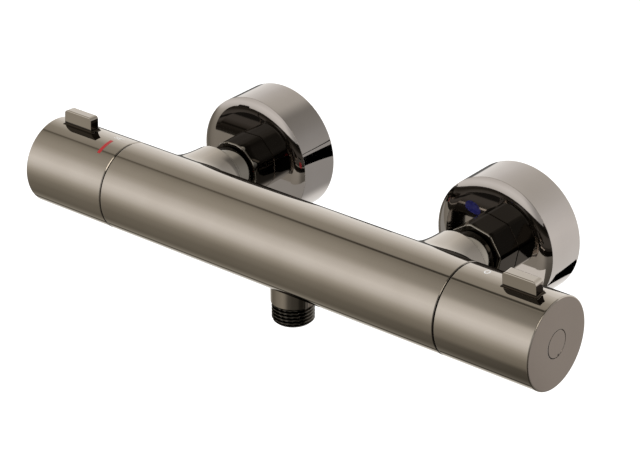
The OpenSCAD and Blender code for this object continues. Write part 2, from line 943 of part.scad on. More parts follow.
// Check valve housing: a seat towards the wall and a spider that guides the stem
module check_housing(side) {
    bore_r = check_housing_d / 2 - check_wall;
    color(white_plastic)
        at_inlet(side)
        difference() {
            rod(check_housing_d / 2, check_from, check_to);
            difference() {
                rod(bore_r, check_from - overrun, check_to - check_seat_t);
                rod(check_hub_r, check_from, check_spider_to);
                for (arm = [0 : check_spider_arms - 1])
                    rotate([0, 0, arm * 360 / check_spider_arms])
                        translate([0, -check_arm_w / 2, check_from])
                        cube([bore_r + check_wall / 2, check_arm_w, check_spider_t]);
            }
            rod(check_seat_r, check_from + check_spider_t, check_to + overrun);
            rod(check_stem_r + running_gap, check_from - overrun, check_to);
            translate([0, 0, check_ring_at - check_ring_w / 2])
                ring(check_housing_d / 2 + overrun, check_housing_d / 2 - check_ring_depth, 0, check_ring_w);
        }
}

module hot_check_housing() {
    check_housing(-1);
}

module cold_check_housing() {
    check_housing(1);
}

module check_poppet(side) {
    color(dark_plastic)
        at_inlet(side) {
            rod(poppet_r, poppet_from, poppet_from + poppet_t);
            rod(check_stem_r, check_from - check_stem_out, poppet_from + poppet_t);
            rod(poppet_nose_r, poppet_from, poppet_from + poppet_t + poppet_nose_t);
        }
}

module hot_check_poppet() {
    check_poppet(-1);
}

module cold_check_poppet() {
    check_poppet(1);
}

module check_spring(side, name) {
    color(steel)
        at_inlet(side)
        coil(name, check_coil_r, check_wire_d, check_spider_to + fit_gap, poppet_from - fit_gap, check_curls);
}

module hot_check_spring() {
    check_spring(-1, "hot check spring");
}

module cold_check_spring() {
    check_spring(1, "cold check spring");
}

module check_o_rings() {
    color(black_rubber)
        for (side = [-1, 1])
            at_inlet(side)
            seal_ring(connector_bore_r - ring_squeeze, check_ring_depth,
                check_ring_w - fit_gap * 2, check_ring_at);
}

// Handle shell, shared by both handles: a cup with a rounded end and a fin on top
module handle_shell(fin_turn) {
    rounding = handle_edge_round;
    difference() {
        union() {
            intersection() {
                chamfered_rod(bar_r, handle_from, handle_to, seam_chamfer, 0);
                union() {
                    rod(bar_r, handle_from, handle_to - rounding);
                    rod(bar_r - rounding, handle_from, handle_to);
                    translate([0, 0, handle_to - rounding])
                        rotate_extrude()
                        translate([bar_r - rounding, 0]) circle(r = rounding, $fn = 32);
                }
            }
            rotate([0, 0, fin_turn]) handle_fin();
        }
        difference() {
            rod(hollow_r, handle_from - overrun, hollow_to);
            rod(boss_r, boss_from, hollow_to + overrun);
        }
        rod(screw_bore_r, boss_from - overrun, handle_to);
        rod(screw_head_pocket_r, screw_head_seat, handle_to);
        rod(end_plug_d / 2, handle_to - end_plug_depth, handle_to + overrun);
    }
}

// The fin is the common part of two outlines, one seen from the end of the bar and
// one seen from the front. Each outline has rounded top corners and a concave foot.
module fin_outline(width, corner, root_height, foot_centre_height, foot_half_width) {
    top = bar_r + fin_height;
    difference() {
        union() {
            translate([-width / 2, root_height]) square([width, top - root_height - corner]);
            translate([-width / 2 + corner, root_height])
                square([width - 2 * corner, top - root_height]);
            for (end = [-1, 1])
                translate([end * (width / 2 - corner), top - corner])
                    circle(r = corner, $fn = 32);
            translate([-foot_half_width, root_height])
                square([2 * foot_half_width, foot_centre_height - root_height]);
        }
        for (end = [-1, 1])
            translate([end * (width / 2 + fin_foot), foot_centre_height]) circle(r = fin_foot, $fn = 48);
    }
}

module handle_fin() {
    root = hollow_r + handle_wall / 2;
    foot_y = fin_thickness / 2 + fin_foot;
    foot_centre = sqrt(pow(bar_r + fin_foot, 2) - pow(foot_y, 2));
    foot_contact = foot_y * bar_r / (bar_r + fin_foot);
    middle = handle_to - fin_setback - fin_length / 2;
    reach = fin_length / 2 + fin_foot;
    intersection() {
        translate([0, 0, middle - reach])
            linear_extrude(2 * reach)
            rotate([0, 0, -90]) fin_outline(fin_thickness, fin_edge, root, foot_centre, foot_contact);
        translate([0, -bar_r, middle])
            rotate([0, -90, -90])
            linear_extrude(2 * bar_r) fin_outline(fin_length, fin_corner, root, bar_r + fin_foot, reach);
    }
}

module temperature_handle() {
    color(nickel)
        at_left_end()
        difference() {
            handle_shell(temperature_fin_turn);
            translate([0, 0, button_at]) rotate([0, -90, 0])
                rod(button_r + clearance / 2, button_flange_from, bar_r + overrun);
        }
}

module flow_handle() {
    color(nickel) at_right_end() handle_shell(flow_fin_turn);
}

// Round plug over the handle's screw, with a notch for prying it out
module end_plug() {
    plug_r = end_plug_d / 2 - plug_gap;
    difference() {
        chamfered_rod(plug_r, handle_to - end_plug_depth + plug_gap, handle_to, 0, plug_chamfer);
        rod(plug_r - plug_skirt_t, handle_to - end_plug_depth, handle_to - plug_plate_t);
        rotate([0, 0, pry_notch_turn])
            translate([plug_r, 0, 0]) rod(pry_notch_r, handle_to - pry_notch_depth, handle_to + overrun);
    }
}

module temperature_end_plug() {
    color(nickel) at_left_end() end_plug();
}

module flow_end_plug() {
    color(nickel) at_right_end() end_plug();
}

// Splined insert that carries a handle on its spindle, with the lug that meets the stops
module handle_hub() {
    difference() {
        union() {
            rod(hub_r, hub_disc_from, hub_disc_to);
            rod(hub_tube_r, hub_disc_from, hub_to);
            for (rib = [0 : hub_ribs - 1])
                rotate([0, 0, (rib + 1 / 2) * 360 / hub_ribs])
                    translate([hub_tube_r / 2, -hub_rib_t / 2, hub_disc_from])
                    cube([hub_r - hub_tube_r / 2 - overrun / 2, hub_rib_t, hub_to - hub_disc_from]);
            ring(hub_r, hub_r - hub_skirt_t / 2, hub_skirt_from, hub_disc_from + overrun);
            ring_segment(lug_outer_r + overrun * 2, lug_inner_r, hub_disc_from - lug_reach,
                hub_disc_from + overrun, -stop_lug_half, stop_lug_half);
        }
        translate([0, 0, hub_disc_from - overrun])
            linear_extrude(spindle_to - hub_disc_from + overrun + clearance)
            splined_outline(spline_r + spline_gap, spline_depth, splines);
        rod(screw_bore_r, hub_disc_from, hub_to + overrun);
    }
}

module temperature_hub() {
    color(white_plastic)
        at_left_end()
        difference() {
            handle_hub();
            translate([0, 0, button_at]) rotate([0, -90, 0])
                rod(button_pocket_r, button_pocket_floor, bar_r);
        }
}

module flow_hub() {
    color(white_plastic) at_right_end() handle_hub();
}

module handle_screw() {
    difference() {
        union() {
            rod(screw_r, screw_to, screw_head_seat);
            rod(screw_head_r, screw_head_seat, screw_head_seat + screw_head_t);
        }
        translate([0, 0, screw_head_seat + screw_head_t - screw_key_depth])
            cylinder(d = screw_key_flats / cos(30), h = screw_key_depth + overrun, $fn = 6);
    }
}

module temperature_screw() {
    color(steel) at_left_end() handle_screw();
}

module flow_screw() {
    color(steel) at_right_end() handle_screw();
}

// Outer end of both spindles: journal, splines and the screw's hole
module spindle_end(journal, from) {
    difference() {
        union() {
            rod(journal, from, spline_from);
            translate([0, 0, spline_from])
                linear_extrude(spindle_to - spline_from)
                splined_outline(spline_r, spline_depth, splines);
        }
        rod(screw_r + fit_gap / 2, spindle_to - screw_hole_depth, spindle_to + overrun);
        groove(journal, spindle_ring_t, spindle_ring_w, spindle_ring_at);
    }
}

module spindle_seal() {
    seal_ring(journal_bore_r - ring_squeeze, spindle_ring_t, spindle_ring_w - fit_gap * 2, spindle_ring_at);
}

module temperature_spindle_seal() {
    color(black_rubber) at_left_end() spindle_seal();
}

module flow_spindle_seal() {
    color(black_rubber) at_right_end() spindle_seal();
}

module temperature_spindle() {
    color(brass)
        at_left_end() {
            spindle_end(journal_r, spindle_collar_from);
            rod(spindle_collar_r, spindle_collar_from, spindle_collar_from + spindle_collar_t);
            rod(spindle_thread_r, spindle_tip, spindle_collar_from);
        }
}

// Ring with the two end stops as the ends of one long sector
module stop_ring(inner_r, teeth, turn_from, turn_to) {
    difference() {
        union() {
            rod(stop_ring_r, stop_ring_from, stop_ring_to);
            ring_segment(stop_sector_r, stop_ring_r - overrun, stop_ring_from, stop_ring_to,
                turn_from, turn_to);
        }
        translate([0, 0, stop_ring_from - overrun])
            linear_extrude(stop_ring_to - stop_ring_from + 2 * overrun)
            splined_outline(inner_r + fit_gap, nose_spline_depth, teeth);
    }
}

module temperature_stop_ring() {
    color(alert_red)
        at_left_end()
        stop_ring(nose_spline_r, nose_splines,
            hot_turn + stop_lug_half + stop_margin, 360 - cold_turn - stop_lug_half - stop_margin);
}

module flow_stop_ring() {
    color(dark_plastic)
        at_right_end()
        stop_ring(nose_spline_r, nose_splines,
            stop_lug_half + stop_margin, 360 - flow_turn - stop_lug_half - stop_margin);
}

// Safety button on the underside. Local Z runs from the bar's axis straight down.
module at_button() {
    at_left_end() translate([0, 0, button_at]) rotate([0, -90, 0]) children();
}

module safety_button() {
    color(alert_red)
        at_button() {
            rotate_extrude()
                polygon([
                    [0, button_flange_from],
                    [button_r, button_flange_from],
                    [button_r, bar_r + button_proud - button_top_round],
                    [button_r - button_top_round, bar_r + button_proud],
                    [0, bar_r + button_proud]
                ]);
            rod(button_flange_r, button_flange_from, button_flange_to);
            rod(button_stem_r, button_stem_from, button_flange_from);
        }
}

module safety_button_spring() {
    color(steel)
        at_button()
        coil("safety button spring", button_coil_r, button_wire_d,
            button_pocket_floor + fit_gap, button_flange_from - fit_gap, button_curls);
}

// Cartridge shell with a ring of cold ports and a ring of hot ports
module port_ring(at) {
    span = 360 / ports * port_span_share;
    for (port = [0 : ports - 1])
        rotate([0, 0, port * 360 / ports])
            ring_segment(cartridge_bore_r + overrun, shuttle_bore_r - overrun, at - port_w / 2,
                at + port_w / 2, -span / 2, span / 2);
}

module groove(outer_r, depth, width, at) {
    ring(outer_r + overrun, outer_r - depth, at - width / 2, at + width / 2);
}

module thermostat_housing() {
    color(dark_plastic)
        at_left_end()
        difference() {
            union() {
                rod(cartridge_r, base_to, cartridge_shoulder - fit_gap);
                rod(nose_r, cartridge_shoulder - overrun, nose_spline_from);
                translate([0, 0, nose_spline_from])
                    linear_extrude(nose_to - nose_spline_from)
                    splined_outline(nose_spline_r, nose_spline_depth, nose_splines);
            }
            ring(cartridge_r + overrun, waist_r, cold_waist_from, cold_waist_to);
            ring(cartridge_r + overrun, waist_r, hot_waist_from, hot_waist_to);
            rod(shuttle_bore_r, base_to - overrun, cartridge_shoulder);
            rod(nose_cavity_r, cartridge_shoulder - overrun, cavity_to);
            rod(journal_bore_r, cavity_to - overrun, nose_to + overrun);
            port_ring(cold_port_at);
            port_ring(hot_port_at);
            for (at = cartridge_rings_at) groove(cartridge_r, cartridge_ring_t, cartridge_ring_w, at);
            follower_keys(key_w + 2 * fit_gap, key_slot_r, cartridge_shoulder - overrun, cavity_to);
        }
}

// Base of the cartridge: it closes the shell's inner end, carries the return spring
// and leads the mixed water into the bar
module thermostat_base() {
    spigot_r = shuttle_bore_r - fit_gap;
    color(dark_plastic)
        at_left_end()
        difference() {
            union() {
                rod(cartridge_r, base_from, base_to);
                rod(tail_r, cartridge_floor - tail_length, base_to);
                ring(spigot_r, spigot_r - base_spigot_wall, base_from, base_to + base_spigot_t);
            }
            rod(tail_hollow_r, cartridge_floor - tail_length - overrun, base_to + overrun);
            groove(tail_r, tail_ring_t, tail_ring_w, tail_ring_at);
        }
}

module thermostat_ring_nut() {
    head_corner_r = ring_nut_flats / 2 / cos(30);
    color(brass)
        at_left_end()
        difference() {
            union() {
                rod(ring_nut_r, cartridge_shoulder, body_end);
                intersection() {
                    translate([0, 0, body_end - overrun])
                        cylinder(r = head_corner_r, h = ring_nut_head + overrun, $fn = 6);
                    rod(hub_r - hub_skirt_t / 2 - clearance, cartridge_shoulder, body_end + ring_nut_head);
                }
            }
            rod(nose_r + fit_gap, cartridge_shoulder - overrun, body_end + ring_nut_head + overrun);
        }
}

module thermostat_o_rings() {
    color(black_rubber)
        at_left_end() {
            for (at = cartridge_rings_at)
                seal_ring(cartridge_bore_r - ring_squeeze, cartridge_ring_t,
                    cartridge_ring_w - fit_gap * 2, at);
            seal_ring(tail_bore_r - ring_squeeze, tail_ring_t, tail_ring_w - fit_gap * 2, tail_ring_at);
        }
}

// Two keys that stop the follower from turning, and the slots for them
module follower_keys(width, reach_r, from, to) {
    intersection() {
        translate([-width / 2, -reach_r, from]) cube([width, 2 * reach_r, to - from]);
        rod(reach_r, from, to);
    }
}

module adjusting_follower() {
    color(brass)
        at_left_end()
        difference() {
            union() {
                rod(follower_r, follower_from, follower_to);
                follower_keys(key_w, key_r, follower_to - key_length, follower_to);
            }
            rod(follower_hollow_r, follower_from - overrun, follower_to - follower_floor_t);
            rod(spindle_thread_bore_r, follower_from, follower_to + overrun);
        }
}

module overload_plunger() {
    color(brass)
        at_left_end()
        difference() {
            union() {
                rod(plunger_r, plunger_from, plunger_from + plunger_t);
                rod(plunger_cup_r, plunger_from, plunger_from + plunger_t + plunger_cup_length);
            }
            rod(piston_r + fit_gap, plunger_from - overrun, plunger_from + piston_hole_depth);
        }
}

module overload_spring() {
    color(steel)
        at_left_end()
        coil("overload spring", overload_coil_r, overload_wire_d,
            plunger_from + plunger_t + fit_gap, follower_to - follower_floor_t - fit_gap, overload_curls);
}

module wax_element() {
    color(brass)
        at_left_end() {
            chamfered_rod(bulb_r, bulb_from, piston_from, neck_chamfer, neck_chamfer);
            rod(collar_r, web_from + web_t, web_from + web_t + collar_t);
            rod(piston_r, piston_from, plunger_from + piston_hole_depth - fit_gap);
        }
}

module mixing_shuttle() {
    color(white_plastic)
        at_left_end()
        difference() {
            rod(shuttle_r, shuttle_from, shuttle_to);
            difference() {
                rod(shuttle_r - shuttle_wall, shuttle_from - overrun, shuttle_to + overrun);
                rod(shuttle_r, web_from, web_from + web_t);
            }
            rod(bulb_r + fit_gap, shuttle_from, shuttle_to);
            for (hole = [0 : web_holes - 1])
                rotate([0, 0, hole * 360 / web_holes])
                    translate([web_holes_at_r, 0, 0])
                    rod(web_hole_r, web_from - overrun, web_from + web_t + overrun);
            groove(shuttle_r, shuttle_ring_t, shuttle_ring_w, (shuttle_from + shuttle_to) / 2);
        }
}

module shuttle_seal() {
    color(black_rubber)
        at_left_end()
        seal_ring(shuttle_r - ring_squeeze, shuttle_ring_t - fit_gap, shuttle_ring_w - fit_gap * 2,
            (shuttle_from + shuttle_to) / 2);
}

module return_spring() {
    color(steel)
        at_left_end()
        coil("return spring", return_coil_r, return_wire_d, base_to + fit_gap, web_from - fit_gap,
            return_curls);
}

// Quarter-turn headwork with two side windows
module flow_headwork() {
    color(brass)
        at_right_end()
        difference() {
            union() {
                rod(headwork_r, headwork_from, body_end);
                rod(headwork_collar_r, body_end, body_end + headwork_collar_t);
                translate([0, 0, body_end])
                    cylinder(r = headwork_flats / 2 / cos(30), h = headwork_nose_from - body_end - clearance,
                        $fn = 6);
                rod(nose_r, body_end, nose_spline_from);
                translate([0, 0, nose_spline_from])
                    linear_extrude(nose_to - nose_spline_from)
                    splined_outline(nose_spline_r, nose_spline_depth, nose_splines);
            }
            rod(headwork_cavity_r, headwork_from - overrun, headwork_cavity_to);
            rod(journal_bore_r, headwork_from, nose_to + overrun);
            translate([-window_w / 2, -headwork_bore_r - overrun, window_from + clearance])
                cube([window_w, 2 * (headwork_bore_r + overrun), window_length]);
            groove(headwork_r, headwork_ring_t, headwork_ring_w, headwork_ring_at);
        }
}

// Two sector ports. The discs pass water where their ports lie over each other.
module disc_ports(turn) {
    for (half = [0, 180])
        rotate([0, 0, turn + half])
            ring_segment(port_outer_r, port_inner_r, headwork_floor, driver_from + overrun,
                -port_sector / 2, port_sector / 2);
}

module fixed_ceramic_disc() {
    color(ceramic)
        at_right_end()
        difference() {
            rod(disc_r, fixed_disc_from, turning_disc_from);
            disc_ports(0);
        }
}

module turning_ceramic_disc() {
    color(ceramic)
        at_right_end()
        difference() {
            rod(disc_r - running_gap, turning_disc_from, turning_disc_from + ceramic_disc_t);
            disc_ports(90);
            translate([-driver_key_w / 2 - fit_gap, -disc_r, driver_from - driver_key_depth - fit_gap])
                cube([driver_key_w + 2 * fit_gap, 2 * disc_r, driver_key_depth + overrun]);
        }
}

module flow_spindle() {
    color(brass)
        at_right_end() {
            spindle_end(journal_r, driver_from + driver_t);
            difference() {
                rod(driver_r, driver_from, driver_from + driver_t);
                disc_ports(90);
            }
            intersection() {
                translate([-driver_key_w / 2, -disc_r, driver_from - driver_key_depth])
                    cube([driver_key_w, 2 * disc_r, driver_key_depth + overrun]);
                rod(port_outer_r, driver_from - driver_key_depth, driver_from + overrun);
            }
        }
}

module headwork_seal() {
    color(black_rubber)
        at_right_end()
        ring(disc_r - running_gap, seal_bore_r, headwork_floor, fixed_disc_from);
}

module headwork_o_ring() {
    color(black_rubber)
        at_right_end()
        seal_ring(headwork_bore_r - ring_squeeze, headwork_ring_t, headwork_ring_w - fit_gap * 2,
            headwork_ring_at);
}

valve_body();
hose_outlet();
hot_inlet_connector();
cold_inlet_connector();
hot_union_nut();
cold_union_nut();
hot_offset_union();
cold_offset_union();
hot_escutcheon();
cold_escutcheon();
union_washers();
inlet_filters();
hot_check_housing();
cold_check_housing();
hot_check_poppet();
cold_check_poppet();
hot_check_spring();
cold_check_spring();
check_o_rings();
temperature_handle();
temperature_end_plug();
temperature_hub();
temperature_screw();
temperature_spindle();
temperature_spindle_seal();
temperature_stop_ring();
safety_button();
safety_button_spring();
thermostat_housing();
thermostat_base();
thermostat_ring_nut();
thermostat_o_rings();
adjusting_follower();
overload_plunger();
overload_spring();
wax_element();
mixing_shuttle();
shuttle_seal();
return_spring();
flow_handle();
flow_end_plug();
flow_hub();
flow_screw();
flow_spindle();
flow_spindle_seal();
flow_stop_ring();
flow_headwork();
turning_ceramic_disc();
fixed_ceramic_disc();
headwork_seal();
headwork_o_ring();
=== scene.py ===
import json
import math
import bmesh
import bpy
from mathutils import Matrix, Vector


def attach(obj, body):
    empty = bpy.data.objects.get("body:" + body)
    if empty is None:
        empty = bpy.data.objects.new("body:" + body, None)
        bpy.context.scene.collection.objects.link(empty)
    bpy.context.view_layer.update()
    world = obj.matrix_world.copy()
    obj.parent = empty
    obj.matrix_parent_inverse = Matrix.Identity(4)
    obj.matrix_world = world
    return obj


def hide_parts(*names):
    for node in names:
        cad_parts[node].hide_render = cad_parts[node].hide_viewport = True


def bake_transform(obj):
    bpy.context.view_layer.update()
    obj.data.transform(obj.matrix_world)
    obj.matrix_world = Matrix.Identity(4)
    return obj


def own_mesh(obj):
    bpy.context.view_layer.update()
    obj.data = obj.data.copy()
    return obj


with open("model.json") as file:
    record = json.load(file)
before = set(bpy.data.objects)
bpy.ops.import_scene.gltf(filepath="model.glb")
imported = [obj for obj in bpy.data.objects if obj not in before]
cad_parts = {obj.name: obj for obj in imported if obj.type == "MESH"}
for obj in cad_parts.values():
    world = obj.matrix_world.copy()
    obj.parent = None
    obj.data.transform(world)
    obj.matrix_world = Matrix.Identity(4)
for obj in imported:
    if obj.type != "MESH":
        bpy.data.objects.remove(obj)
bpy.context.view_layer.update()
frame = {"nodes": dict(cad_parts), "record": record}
nodes = frame["nodes"]
MM = 0.001

# Places of the CAD part, in millimetres. The bar's axis lies in front of the wall, and below the
# middle of the wall's inlets.
WALL = 86.0
OFFSET = 7.5
INLET_X = 75.0
OUTLET_X = 3.0
BAR_R = 22.5
NECK_R = 17.5
HANDLE_END = 153.5


def at_bar(x, y, z):
    """A point measured from the middle of the bar's axis, as a vector in metres."""
    return Vector((x * MM, (y - WALL) * MM, (z - OFFSET) * MM))


def linked(name, data):
    """A new object of a mesh, lamp or camera, in the scene."""
    made = bpy.data.objects.new(name, data)
    bpy.context.collection.objects.link(made)
    return made


# Camera, at the photograph's viewing angle
AZIMUTH, ELEVATION, ROLL = 39.119, 26.627, 0.042
TARGET = (19.555, 0, 11.173)
DISTANCE = 1.112775
FOCAL_PIXELS, IMAGE_PIXELS = 2374.794, 640
SENSOR_WIDTH = 36
NEAREST, FARTHEST = 0.02, 40


def make_camera():
    azimuth, elevation, roll = (math.radians(v) for v in (AZIMUTH, ELEVATION, ROLL))
    back = Vector((math.sin(azimuth) * math.cos(elevation),
                   -math.cos(azimuth) * math.cos(elevation), math.sin(elevation)))
    right = Vector((math.cos(azimuth), math.sin(azimuth), 0))
    up = back.cross(right)
    right, up = (right * math.cos(roll) + up * math.sin(roll),
                 up * math.cos(roll) - right * math.sin(roll))
    data = bpy.data.cameras.new("camera")
    data.sensor_fit = "HORIZONTAL"
    data.sensor_width = SENSOR_WIDTH
    data.lens = FOCAL_PIXELS / IMAGE_PIXELS * SENSOR_WIDTH
    data.clip_start = NEAREST
    data.clip_end = FARTHEST
    camera = linked("camera", data)
    rotation = Matrix((right, up, back)).transposed().to_4x4()
    camera.matrix_world = Matrix.Translation(at_bar(*TARGET) + back * DISTANCE) @ rotation
    bpy.context.scene.camera = camera


# Shader nodes that the world and the materials share
def feed(tree, node, inputs):
    """Feeds a node's first inputs with other nodes' outputs or with plain values."""
    for socket, value in zip(node.inputs, inputs):
        if hasattr(value, "links"):
            tree.links.new(value, socket)
        else:
            socket.default_value = value


def shader(tree, kind, *inputs):
    node = tree.nodes.new(kind)
    feed(tree, node, inputs)
    return node.outputs[0]


def number(tree, operation, *inputs):
    node = tree.nodes.new("ShaderNodeMath")
    node.operation = operation
    feed(tree, node, inputs)
    return node.outputs[0]


def vector(tree, operation, *inputs):
    node = tree.nodes.new("ShaderNodeVectorMath")
    node.operation = operation
    feed(tree, node, inputs)
    return node.outputs


def ranged(tree, value, low, high, at_low, at_high, interpolation="LINEAR"):
    """A number that goes from at_low to at_high as the value goes from low to high."""
    node = tree.nodes.new("ShaderNodeMapRange")
    node.interpolation_type = interpolation
    tree.links.new(value, node.inputs["Value"])
    for name, limit in (("From Min", low), ("From Max", high),
                        ("To Min", at_low), ("To Max", at_high)):
        node.inputs[name].default_value = limit
    return node.outputs[0]


def split(tree, whole):
    """The x, y and z of a vector."""
    node = tree.nodes.new("ShaderNodeSeparateXYZ")
    tree.links.new(whole, node.inputs[0])
    return node.outputs


def new_material(name):
    """A material with an empty node tree, and that tree."""
    material = bpy.data.materials.new(name)
    material.use_nodes = True
    material.node_tree.nodes.clear()
    return material, material.node_tree


def close_material(tree, result):
    tree.links.new(result, tree.nodes.new("ShaderNodeOutputMaterial").inputs[0])


# World: white for the camera, a soft studio for the metal, plain pale light for the rest.
# The studio's strength goes by a direction's degrees around the bar: the front is 0, the top 90,
# the wall 180 and the floor -90.
STUDIO = [
    (-180, 1.05), (-160, 1.0), (-133, 0.94), (-122, 0.62), (-114, 0.42), (-111, 0.1), (-106, 0.1),
    (-103, 0.34), (-93, 0.232), (-83, 0.173), (-68, 0.203), (-53, 0.222), (-33, 0.312),
    (-23, 0.421), (-13, 0.582), (-3, 0.795), (7, 0.944), (17, 1.0), (37, 0.785), (47, 0.617),
    (57, 0.494), (67, 0.45), (80, 0.385), (91, 0.31), (93.3, 0.06), (96.7, 0.06), (98.6, 0.36),
    (117, 0.42), (137, 0.7), (152, 0.9), (167, 1.0), (180, 1.05),
]
# Places where the studio is stronger or weaker than that, by a share. Soft steps bound each of
# them: what they measure, low, high, and their values at low and at high.
PAST_FAR_LEFT = ("x", -0.58, -0.46, 0, 1)
PLACES = [
    # The right side
    (-0.1, [("x", -0.3, 0.3, 0, 1)]),
    # A dark edge far behind, seen along the upper outlines
    (-0.85, [("degrees", -174, -168, 0, 1), ("degrees", -152, -148, 1, 0),
             ("x", -0.4, -0.25, 1, 0)]),
    # The dark zones below and above are deeper, except at the far left
    (-0.5, [("degrees", -114, -108, 0, 1), ("degrees", -62, -48, 1, 0), PAST_FAR_LEFT]),
    (-0.36, [("degrees", 40, 54, 0, 1), ("degrees", 88, 92, 1, 0), PAST_FAR_LEFT]),
    # The dark line along the bar is softer at the far left
    (1.3, [("degrees", 91.5, 93.5, 0, 1), ("degrees", 96.5, 98.5, 1, 0),
           ("x", -0.62, -0.53, 1, 0)]),
    # A darker part that the left cover's side sees
    (-0.5, [("x", -0.1, 0.25, 0, 1), ("y", 0.705, 0.732, 1, 0)]),
]
# A small lamp that glints on the edges of the seams: its direction, the cosines of the angle to
# it where the glint starts and is full, and its strength
GLINT = (0.76, -0.158, 0.568)
GLINT_FROM, GLINT_FULL, GLINT_STRENGTH = 0.95, 0.985, 4.0
# A second reflection meets the dark side of the studio
FIRST_DEPTH, SECOND_DEPTH, SECOND_STRENGTH = 1.2, 1.6, 0.14
PALE, PALE_STRENGTH = (1, 0.995, 0.985, 1), 0.75
WHITE = (1, 1, 1, 1)
# The studio's tints, and how strong it is where they are reached
WARM_TINT, WARM_UP_TO = (1, 0.92, 0.75), 0.15
COOL_TINT, COOL_FROM = (1, 0.99, 0.96), 0.9


def tinted(value):
    """The darker the studio, the warmer it is."""
    share = min(1.0, max(0.0, (value - WARM_UP_TO) / (COOL_FROM - WARM_UP_TO)))
    tint = [warm + (cool - warm) * share for warm, cool in zip(WARM_TINT, COOL_TINT)]
    return (*(value * part for part in tint), 1)


def make_world():
    world = bpy.data.worlds.new("studio")
    bpy.context.scene.world = world
    world.use_nodes = True
    tree = world.node_tree
    tree.nodes.clear()
    direction = tree.nodes.new("ShaderNodeTexCoord").outputs["Generated"]
    x, y, z = split(tree, direction)
    angle = number(tree, "ARCTAN2", z, number(tree, "MULTIPLY", y, -1.0))
    measures = {"x": x, "y": y, "degrees": number(tree, "MULTIPLY", angle, 180 / math.pi)}
    turn = number(tree, "ADD", number(tree, "DIVIDE", angle, 2 * math.pi), 0.5)
    ramp = tree.nodes.new("ShaderNodeValToRGB")
    tree.links.new(turn, ramp.inputs[0])
    stops = ramp.color_ramp.elements
    while len(stops) < len(STUDIO):
        stops.new(0.5)
    for stop, (degrees, value) in zip(stops, STUDIO):
        stop.position = (degrees + 180) / 360
        stop.color = tinted(value)

    strength = 1.0
    for change, steps in PLACES:
        for measure, *limits in steps:
            step = ranged(tree, measures[measure], *limits, "SMOOTHSTEP")
            change = number(tree, "MULTIPLY", step, change)
        strength = number(tree, "MULTIPLY", number(tree, "ADD", change, 1.0), strength)
    toward = vector(tree, "DOT_PRODUCT", direction, Vector(GLINT).normalized())["Value"]
    lamp = ranged(tree, toward, GLINT_FROM, GLINT_FULL, 0.0, GLINT_STRENGTH, "SMOOTHSTEP")
    path = tree.nodes.new("ShaderNodeLightPath").outputs
    deep = ranged(tree, path["Glossy Depth"], FIRST_DEPTH, SECOND_DEPTH, 1.0, SECOND_STRENGTH,
                  "SMOOTHSTEP")
    strength = number(tree, "MULTIPLY", number(tree, "ADD", strength, lamp), deep)
    pale = shader(tree, "ShaderNodeBackground", PALE, PALE_STRENGTH)
    mirrored = shader(tree, "ShaderNodeBackground", ramp.outputs[0], strength)
    white = shader(tree, "ShaderNodeBackground", WHITE, 1.0)
    unseen = shader(tree, "ShaderNodeMixShader", path["Is Glossy Ray"], pale, mirrored)
    result = shader(tree, "ShaderNodeMixShader", path["Is Camera Ray"], unseen, white)
    tree.links.new(result, tree.nodes.new("ShaderNodeOutputWorld").inputs["Surface"])


# Lamps as (name, place in metres, size in metres, power), aimed at a point behind the bar
LAMPS = [("key", (-0.9, -1.6, 1.4), 1.2, 12), ("fill", (1.4, -1.2, 0.8), 1.4, 6)]
LAMP_AIM = (0, 40, 0)


def make_lamps():
    for name, place, size, power in LAMPS:
        data = bpy.data.lights.new(name, "AREA")
        data.shape = "DISK"
        data.size = size
        data.energy = power
        lamp = linked(name, data)
        lamp.location = place
        away = at_bar(*LAMP_AIM) - Vector(place)
        lamp.rotation_euler = away.to_track_quat("-Z", "Y").to_euler()
        lamp.visible_glossy = False


# A pale floor well below the part, which hangs on a wall. It glows a little for the camera.
FLOOR_REACH, FLOOR_HEIGHT = 9, -0.45
FLOOR_COLOURS = ((0.86, 0.86, 0.86, 1), (0.9, 0.9, 0.9, 1))
FLOOR_NOISE, FLOOR_GLOW = 3, 0.55


def make_floor():
    mesh = bpy.data.meshes.new("floor")
    corners = [(x * FLOOR_REACH, y * FLOOR_REACH, FLOOR_HEIGHT)
               for x, y in ((-1, -1), (1, -1), (1, 1), (-1, 1))]
    mesh.from_pydata(corners, [], [(0, 1, 2, 3)])
    floor = linked("floor", mesh)
    material, tree = new_material("pale_floor")
    noise = tree.nodes.new("ShaderNodeTexNoise")
    noise.inputs["Scale"].default_value = FLOOR_NOISE
    ramp = tree.nodes.new("ShaderNodeValToRGB")
    for stop, colour in zip(ramp.color_ramp.elements, FLOOR_COLOURS):
        stop.color = colour
    tree.links.new(noise.outputs[0], ramp.inputs[0])
    matte = shader(tree, "ShaderNodeBsdfDiffuse", ramp.outputs[0])
    glow = shader(tree, "ShaderNodeEmission", WHITE, FLOOR_GLOW)
    both = shader(tree, "ShaderNodeAddShader", matte, glow)
    seen = tree.nodes.new("ShaderNodeLightPath").outputs["Is Camera Ray"]
    close_material(tree, shader(tree, "ShaderNodeMixShader", seen, matte, both))
    mesh.materials.append(material)
    floor.visible_glossy = False


# Places on the surface where a finish gets painted shade: faces that are this square to the bar,
# and others by distances in millimetres
SQUARE_FROM, SQUARE_FULL = 0.95, 0.999
FOOT_FROM, FOOT_FULL, FOOT_GONE = 0.03, 0.9, 1.4
PLUG_PLACES = [
    # The rim's front side: beyond a distance from a line along the bar
    ((0.3, 0), (6.56, 6.66)),
    # The small notch: within a distance from a line along the bar
    ((1.6, -6.0), (0.62, 0.42)),
]


